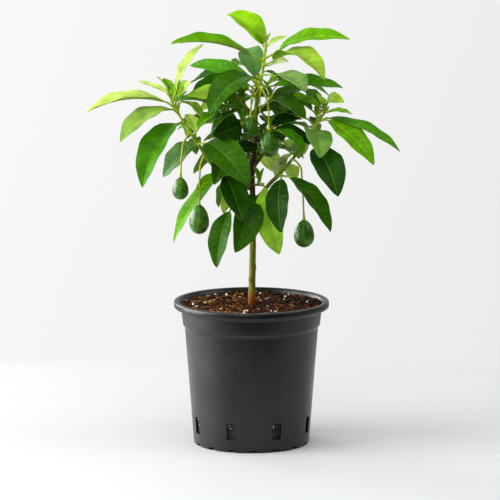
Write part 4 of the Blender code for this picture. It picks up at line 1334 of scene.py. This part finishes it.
def add_blade(piece, joint, blade, width, slots, chance):
    """Bends the pattern into one leaf's blade and adds it to a piece."""
    bearing, rise, length, face, _ = blade
    line, upward = midrib_line(blade, blade_place)
    wide = 0.5 * LEAF_WIDTH * length * np.sin(np.pi * np.clip(blade_place, 0, 1) ** 0.92) ** 0.76
    half = np.maximum(wide * width * chance.uniform(*BLADE_WIDTHS), BLADE_NARROWEST)
    fold = math.radians(LEAF_FOLD + chance.uniform(*FOLD_SCATTER))
    cupped = half * math.sin(fold) * (1.38 * outward - 0.38 * outward**2)
    waves, phase = chance.uniform(*WAVE_COUNT), chance.uniform(0, math.tau)
    size = min(1.0, length / GROWN_LENGTH)
    swing = np.sin(math.tau * waves * blade_place + phase + (blade_side > 0) * 2.1)
    ripple = WAVE * size * outward**2.2 * swing
    ripple *= np.sin(np.pi * np.clip(blade_place, 0, 1)) ** 0.5
    thick = BLADE_THICK[0] + (BLADE_THICK[1] - BLADE_THICK[0]) * np.minimum(1.0, outward * 3)
    height = cupped + ripple + blade_puff * size + (blade_layer - 0.5) * thick * size
    level = headings(bearing + 90, np.zeros(1))
    local = line + upward * height[:, None] + level * (half * math.cos(fold) * blade_side)[:, None]
    points = np.array(joint) + local @ np.array(face_turn(bearing, rise, face)).T
    set_points(piece, blade_mesh, points, np.array(slots)[blade_kinds])


leaf_finishes = []
colour_slots = {}


def add_leaf_finish(key, name, shade, tones, roughness, specular, depth):
    """A leaf surface: soft blotches of its green and the fine net of the smallest veins as relief."""
    finish, tree, shader, place = new_finish(name, Roughness=roughness, IOR=1.45, Specular_IOR_Level=specular)
    parts = [int(shade[i : i + 2], 16) for i in (1, 3, 5)]
    shades = ["#" + "".join(f"{min(255, round(part * tone)):02x}" for part in parts) for tone in tones]
    colour, _ = blotches(tree, place, 14, shades, detail=4.0, spread=(0.3, 0.7))
    tree.links.new(colour, shader.inputs["Base Color"])
    # The net of smallest veins has meshes of 0.5 mm, drawn at 1.1 mm so that it shows
    mesh_scale = {"feature": "DISTANCE_TO_EDGE", "Scale": 1 / (1.1 * MM)}
    net = add_node(tree, "TexVoronoi", mesh_scale, {"Vector": place})
    add_relief(tree, shader, net, depth, 0.5)
    colour_slots[key] = len(leaf_finishes)
    leaf_finishes.append(finish)


for colour, (shade, age, _) in LEAF_COLOURS.items():
    name = f"avocado leaf, upper face, {colour}"
    add_leaf_finish(colour, name, shade, (0.86, 1, 1.12), *LEAF_GLOSS[age], 0.06)
for age, shade in MIDRIB_COLOURS.items():
    add_leaf_finish(("midrib", age), f"avocado midrib, {age}", shade, (0.93, 1), 0.45, 0.15, 0.03)
for age, shade in UNDER_COLOURS.items():
    add_leaf_finish(age, f"avocado leaf, underside, {age}", shade, (0.9, 1, 1.06), 0.62, 0.1, 0.08)


def blade_slots(colour, under):
    """A leaf's material slots: upper face, midrib, side veins and underside."""
    _, age, vein = LEAF_COLOURS[colour]
    return [colour_slots[name] for name in (colour, ("midrib", age), vein, under or age)]


def drawn_leaves(shoot, chance):
    """Each leaf that is drawn on a shoot: its root, joint, blade, width, colour and underside's colour."""
    for number, (root, leaf, look) in enumerate(shoot.set_leaves):
        if number in shoot.plan.get("left_off", ()):
            continue
        bearing, rise, length, face, stalk, stalk_rise, bend = leaf
        grown = HALF_GROWN if number in shoot.plan.get("half_grown", ()) else 1.0
        look = look or shoot.plan.get("looks", {}).get(number) or (chance.choice(OUT_OF_SIGHT),)
        colour, under, blade, width = (*look, *("", None, 1.0)[len(look) - 1 :])
        joint = root + heading(bearing, stalk_rise) * (stalk * grown)
        yield root, joint, blade or (bearing, rise, length * grown, face, bend), width, colour, under


chance = random.Random(77)
for shoot in shoots:
    tip_look = ("lime" if shoot.name.startswith("shoot") else "bright",)
    for bearing, rise, length in TIP_LEAVES:
        bearing += chance.uniform(-30, 30)
        young = (bearing, rise + chance.uniform(-8, 8), length * chance.uniform(0.85, 1.15), 0, *TIP_PETIOLE)
        shoot.set_leaves.append((shoot.stem[-1], young, tip_look))
    for look, place, *entry in shoot.plan.get("more", []):
        shoot.set_leaves.append((along(shoot.stem, place), whole_leaf(entry), look))
    shoot.drawn = list(drawn_leaves(shoot, chance))
for part_name, names in CROWN_PARTS.items():
    blades = bmesh.new()
    for shoot in shoots:
        if shoot.name in names:
            for _, joint, blade, width, colour, under in shoot.drawn:
                add_blade(blades, joint, blade, width, blade_slots(colour, under), chance)
    add_piece(part_name, blades, leaf_finishes, names, crease=60)

# Twigs, petioles and midribs: green shoots that carry the leaves. A petiole swells where it leaves the twig,
# and runs on under its blade as the raised midrib. A bud sits in each leaf's corner, and a larger one ends
# each shoot.
PETIOLE_SIDES = 8
PETIOLE_STEPS = 7
PETIOLE_FOOT = 0.55  # that it is thicker where it leaves the twig
PETIOLE_HEAD = 0.15  # and where it meets the blade
THINNEST = 0.15
MIDRIB_PLACES = np.linspace(0.03, 0.9, 10)
MIDRIB_SUNK = 0.45  # that its middle lies under the blade's
# Buds as (length, width)
SHOOT_BUD = (8.5, 3.4)
TWIG_BUD = (5.0, 2.2)
LEAF_BUD = (3.2, 1.7)
BUD_SHAPE = ((0.0, 0.55), (0.2, 0.95), (0.42, 1.0), (0.48, 0.86), (0.72, 0.72), (0.9, 0.36), (1.0, 0.05))
BUD_LEAF = 25  # the length from which a leaf has a bud in its corner
STEM_SIDES = 14
SMALL_TWIG_SIDES = 10
NODE_SIZE = 2.2  # half the swelling where a leaf leaves its stem
NODE_SWELL = 0.35
STEM_RIB = 0.12
GREEN_SHOOT, YOUNG_SHOOT, PETIOLE, BROWN_TWIG, BUD = range(5)


def add_petiole(piece, root, joint, blade, slot):
    """A leaf's petiole and the midrib under its blade, as one tapering tube."""
    bearing, rise, length, face, bend = blade
    turn = np.array(face_turn(bearing, rise, face))
    leave = joint - root
    arrive = Vector(turn @ np.array(heading(bearing, rise + bend / 2))) * leave.length
    points, radii = [], []
    for step in range(PETIOLE_STEPS):
        t = step / PETIOLE_STEPS
        points.append(eased(root, leave, joint, arrive, t))
        radii.append(PETIOLE_RADIUS + PETIOLE_FOOT * (1 - t) ** 3 * min(1, length / 45) + PETIOLE_HEAD * t**4)
    line, upward = midrib_line(blade, MIDRIB_PLACES)
    size = min(1.0, length / GROWN_LENGTH)
    under = (line - upward * MIDRIB_SUNK * size) @ turn.T
    points += [joint + Vector(row) for row in under]
    radii += [PETIOLE_RADIUS * (1 - 0.8 * place) for place in MIDRIB_PLACES]
    radii = [max(THINNEST, radius * (0.45 + 0.55 * size)) for radius in radii]
    add_tube(piece, points, radii, PETIOLE_SIDES, slot)


def add_bud(piece, foot, direction, size, slot):
    """A pointed bud of overlapping scales."""
    length, width = size
    points = [foot + direction * (length * place) for place, _ in BUD_SHAPE]
    add_tube(piece, points, [width / 2 * share for _, share in BUD_SHAPE], 8, slot)


def stem_relief(points, roots, chance):
    """Swellings where leaves leave a stem, and faint ribs along it."""
    lift = chance.uniform(0, 50)

    def relief(ring, turn):
        point = points[ring]
        swell = sum(math.exp(-(((point - root).length / NODE_SIZE) ** 2)) for root in roots)
        rib = noise.noise(Vector((math.cos(turn) * 2, math.sin(turn) * 2, lift + point.z * 0.08)))
        return NODE_SWELL * min(swell, 1.3) + STEM_RIB * rib

    return relief


twigs = bmesh.new()
for shoot in shoots:
    on_trunk = "height" in shoot.plan
    radii = tapered(shoot.stem, *shoot.plan["radii"])
    lead = (shoot.stem[1] - shoot.stem[0]).normalized()
    start = shoot.stem[0] - lead * (TRUNK_RADIUS * 0.8 if on_trunk else 1.2)
    line, widths = smooth_limb([start] + shoot.stem, [radii[0] + (0.7 if on_trunk else 0.1)] + radii, 1.6)
    roots = [root for root, *_ in shoot.drawn]
    main = shoot.name.startswith("shoot")
    young_from = 0 if shoot.plan["limb"] == "trunk" else 0.55 * len(line)
    wood = [YOUNG_SHOOT if k >= young_from else GREEN_SHOOT for k in range(len(line))] if main else BROWN_TWIG
    add_tube(twigs, line, widths, STEM_SIDES, wood, stem_relief(line, roots, chance))
    add_bud(twigs, line[-1] - lead * 0.5, (line[-1] - line[-3]).normalized(), SHOOT_BUD, BUD)
    for points, radii in shoot.twigs:
        line, widths = smooth_limb(points, radii, 2.0)
        add_tube(twigs, line, widths, SMALL_TWIG_SIDES, GREEN_SHOOT, stem_relief(line, roots, chance))
        add_bud(twigs, line[-1], (line[-1] - line[-3]).normalized(), TWIG_BUD, BUD)
    for root, joint, blade, _, colour, _ in shoot.drawn:
        young = LEAF_COLOURS[colour][1] == "young"
        add_petiole(twigs, root, joint, blade, PETIOLE if young or main else GREEN_SHOOT)
        bearing, _, length, _, _ = blade
        if length > BUD_LEAF:
            add_bud(twigs, root + heading(bearing, 60) * 2.0, heading(bearing, 70), LEAF_BUD, BUD)


def shoot_finish(name, shades, roughness=0.45):
    """Smooth green bark of this year's growth, a little waxy."""
    return flat_finish(name, shades, 6.0, roughness, 0.1, IOR=1.45, Specular_IOR_Level=0.2)


twig_finishes = [
    shoot_finish("avocado shoot, green", ["#5f8c18", "#83ad24"]),
    shoot_finish("avocado shoot, young", ["#93b41f", "#b6cc2c"]),
    shoot_finish("avocado petiole, yellow green", ["#8fb52a", "#b4d03c"]),
    shoot_finish("avocado twig, brown green", ["#4a4a16", "#6b6a22"], 0.55),
    shoot_finish("avocado bud, downy", ["#a8b42c", "#c9c63e"], 0.6),
]
add_piece("twigs_and_petioles", twigs, twig_finishes, list(SHOOTS), crease=60)

# Fruit: young avocados, pear shaped and pebbled, dark green with a wax gloss and pale pores. Each hangs from
# a yellow-green stalk that thickens to a collar where it meets the fruit. Two stalks have dropped theirs.
FRUIT_WIDEST = 0.62  # of the way down
FRUIT_AROUND = 72
FRUIT_RINGS = 52
FRUIT_DROP = {"shoot_left": 4.3}  # that a heavy fruit hangs lower, on a stretched stalk
PEBBLE = 1.5
PEBBLE_DEPTH = 0.16
STALK_SIDES = 12
STALK_STEP = 1.4
SWELLING_LENGTH = 5.0
# The stalk's collar, sunk in the fruit's top: (how far below the stalk's end, share of its swelling)
COLLAR = ((0.9, 1.25), (1.6, 1.2), (2.6, 0.7))
# Stalks whose fruit has dropped, on the leader: (height, strokes)
BARE_STALKS = [(388, [(285, 15, 6), (262, -70, 14), (275, -86, 12)]), (381, [(240, 20, 5), (215, -66, 16)])]
BARE_STALK_SIDES = 8
BARE_BUD = (2.4, 1.9)


def fruit_width(place):
    """A fruit's half width at a share of the way down, as a share of its widest."""
    if place < FRUIT_WIDEST:
        return (1 - ((FRUIT_WIDEST - place) / FRUIT_WIDEST) ** 2.05) ** 0.64
    return math.sqrt(max(0.0, 1 - ((place - FRUIT_WIDEST) / (1 - FRUIT_WIDEST)) ** 2))


def add_fruit(piece, top, length, width, chance):
    """A hanging pear-shaped fruit with a pebbled skin, shaped from a sphere."""
    ball = bmesh.ops.create_uvsphere(piece, u_segments=FRUIT_AROUND, v_segments=FRUIT_RINGS, radius=1)
    lift = Vector((chance.uniform(0, 90), 0, 0))
    for vert in ball["verts"]:
        place = math.acos(max(-1.0, min(1.0, vert.co.z))) / math.pi
        place = 0.5 - 0.5 * math.cos(math.pi * place) if place not in (0.0, 1.0) else place
        out = Vector((vert.co.x, vert.co.y, 0))
        out = out.normalized() if out.length > 1e-6 else out
        radius = fruit_width(place) * width / 2
        spot = top + out * radius - Vector((0, 0, place * length))
        cell = noise.voronoi((spot + lift) / PEBBLE)[0]
        pebble = PEBBLE_DEPTH * (0.5 - min(1.0, cell[0]))
        vert.co = spot + (out - Vector((0, 0, place - 0.5))).normalized() * pebble


fruit, stalks = bmesh.new(), bmesh.new()
chance = random.Random(88)
for shoot in shoots:
    for points, length, width in shoot.hung:
        points = points[:-1] + [points[-1] - Vector((0, 0, FRUIT_DROP.get(shoot.name, 0.0)))]
        add_fruit(fruit, points[-1] + Vector((0, 0, FRUIT_LIFT)), length, width, chance)
        line, widths = smooth_limb(points, tapered(points, STALK_RADIUS * 1.25, STALK_RADIUS), STALK_STEP)
        left = [(line[-1] - point).length for point in line]
        swell = [math.exp(-((gap / SWELLING_LENGTH) ** 2)) for gap in left]
        widths = [width + (STALK_SWELLING - width) * share for width, share in zip(widths, swell)]
        line += [line[-1] + Vector((0, 0, -below)) for below, _ in COLLAR]
        widths += [STALK_SWELLING * share for _, share in COLLAR]
        add_tube(stalks, line, widths, STALK_SIDES, 0, stem_relief(line, [], chance))

leader, _ = smooth_limb(trunk_points + shoots[0].stem, [1.0] * (len(trunk_points) + len(shoots[0].stem)), 1.0)
for height, strokes in BARE_STALKS:
    foot = min(leader, key=lambda point: abs(point.z - height))
    points = route(foot, strokes, STEM_SPACING)
    line, widths = smooth_limb(points, tapered(points, 0.9, 0.65), STALK_STEP)
    add_tube(stalks, line, widths, BARE_STALK_SIDES, 0, stem_relief(line, [], chance))
    add_bud(stalks, line[-1], (line[-1] - line[-2]).normalized(), BARE_BUD, 0)

fruit_skin, tree, shader, place = new_finish(
    "young avocado skin, waxed and pebbled", Roughness=0.26, IOR=1.46, Specular_IOR_Level=0.5
)
ground, _ = blotches(tree, place, 9, ["#264d06", "#356a09", "#47860f"])
pores = add_node(tree, "TexVoronoi", {"Scale": 1 / (PEBBLE * MM)}, {"Vector": place})
pore_edge = add_node(tree, "MapRange", {"From Min": 0.10, "From Max": 0.32}, {"Value": pores})
spotted = add_node(tree, "Mix", {"data_type": "RGBA", 6: linear("#86b02c")}, {0: pore_edge, 7: ground})
tree.links.new(spotted.outputs[2], shader.inputs["Base Color"])
add_relief(tree, shader, pores, 0.12, 0.7)
bearers = ["shoot_top", "shoot_left", "shoot_right"]
add_piece("fruit", fruit, [fruit_skin], bearers, crease=180)
stalk_finish = shoot_finish("avocado fruit stalk, yellow green", ["#a3b31c", "#cbd52c"], 0.42)
add_piece("fruit_stalks", stalks, [stalk_finish], bearers, crease=60)

# Studio: a white table that melts into a white wall, one broad soft window from the upper left and weaker
# ones round it, a low strip for the gloss of the pot's left side, and a camera that looks down a little.
# Lengths in this section are in metres.
FLOOR_SIZE = 3.0
TABLE_BACK = 0.05  # that the table's middle lies behind the pot
TABLE_STRETCH = 0.25  # of its depth against its width
TABLE_FADE = {"From Min": 0.35, "From Max": 0.44}  # from the table's middle to where it has melted away
WALL_SPAN = {"From Min": -0.06, "From Max": 0.14}  # of the view's direction, across the picture
LIGHT_SPAN = {"From Min": -0.9, "From Max": 0.9, "To Min": 0.05, "To Max": 0.66}
LIGHT_FROM = (-0.35, 0.8, 0.45)
LOOK_AT = Vector((-0.0016, 0.0, 0.211))
CAMERA_BACK = Vector((0.0, -4.0, 0.665))
FRAME_WIDTH = 0.54
# Each window's place, the point it is aimed at, its size and its power
WINDOWS = {
    "window_left": ((-1.75, -0.45, 1.0), (0, 0, 0.25), 1.5, 36),
    "window_above": ((-0.1, -0.7, 2.1), (0, 0, 0.3), 1.6, 18),
    "window_right": ((1.4, -0.2, 1.6), (0, 0, 0.2), 1.2, 7),
    "window_back_left": ((-1.5, 1.5, 0.7), (0, 0, 0.2), 1.0, 20),
    "window_front": ((-0.5, -2.3, 1.0), (0, 0, 0.3), 1.2, 8),
    "strip_low_left": ((-1.3, 0.15, 0.35), (0, 0, 0.12), 1.0, 24),
}
GLOSS_ALONE = "strip_low_left"  # shows in glossy faces alone

floor_shape = bmesh.new()
bmesh.ops.create_circle(floor_shape, cap_ends=True, segments=96, radius=FLOOR_SIZE)
floor = add_object("studio_floor", as_mesh("studio_floor", floor_shape))
floor_shade = linear("#dcdede")
floor_finish, tree, shader, place = new_finish("white studio sweep", Roughness=0.6, Base_Color=floor_shade)
clear = add_node(tree, "BsdfTransparent", {}, {})
table_shape = {"Location": (0, -TABLE_BACK, 0), "Scale": (TABLE_STRETCH, 1, 1)}
from_middle = add_node(tree, "Mapping", table_shape, {"Vector": place})
distance = add_node(tree, "VectorMath", {"operation": "LENGTH"}, {0: from_middle}).outputs["Value"]
fade = add_node(tree, "MapRange", {**TABLE_FADE, "interpolation_type": "SMOOTHSTEP"}, {"Value": distance})
blend = add_node(tree, "MixShader", {}, {0: fade, 1: shader, 2: clear})
tree.links.new(blend.outputs["Shader"], tree.nodes["Material Output"].inputs["Surface"])
floor.data.materials.append(floor_finish)

# The camera sees a white wall that falls off a little to the right. What lights the plant comes strongest
# from the back, the left and above, and little from the camera's side, so that the black pot keeps its depth.
world = bpy.data.worlds.new("white studio")
world.use_nodes = True
tree = world.node_tree
backdrop = tree.nodes["Background"]
direction = tree.nodes.new("ShaderNodeTexCoord").outputs["Generated"]


def toward(side):
    """How far the view's direction points to a side."""
    aligned = add_node(tree, "VectorMath", {"operation": "DOT_PRODUCT", 1: side}, {0: direction})
    return aligned.outputs["Value"]


wall_shade = add_node(tree, "MapRange", WALL_SPAN, {"Value": toward((1, 0, -0.4))})
wall = add_node(tree, "ValToRGB", {}, {"Fac": wall_shade})
set_stops(wall, [(0.0, "#fcfcfb"), (1.0, "#ebebeb")])
tree.links.new(wall.outputs["Color"], backdrop.inputs["Color"])
depth = add_node(tree, "MapRange", LIGHT_SPAN, {"Value": toward(LIGHT_FROM)})
seen = tree.nodes.new("ShaderNodeLightPath").outputs["Is Camera Ray"]
strength = add_node(tree, "Math", {"operation": "MAXIMUM"}, {0: depth, 1: seen})
tree.links.new(strength.outputs["Value"], backdrop.inputs["Strength"])
bpy.context.scene.world = world

for name, (place, target, size, power) in WINDOWS.items():
    lamp = bpy.data.lights.new(name, "AREA")
    lamp.shape = "SQUARE"
    lamp.size = size
    lamp.energy = power
    light = add_object(name, lamp)
    light.location = place
    light.rotation_euler = (Vector(target) - Vector(place)).to_track_quat("-Z", "Y").to_euler()
    light.visible_diffuse = name != GLOSS_ALONE

camera = add_object("camera", bpy.data.cameras.new("camera"))
camera.location = LOOK_AT + CAMERA_BACK
camera.rotation_euler = (-CAMERA_BACK).to_track_quat("-Z", "Y").to_euler()
camera.data.lens = camera.data.sensor_width * CAMERA_BACK.length / FRAME_WIDTH
bpy.context.scene.camera = camera
bpy.context.scene.view_settings.view_transform = "Standard"
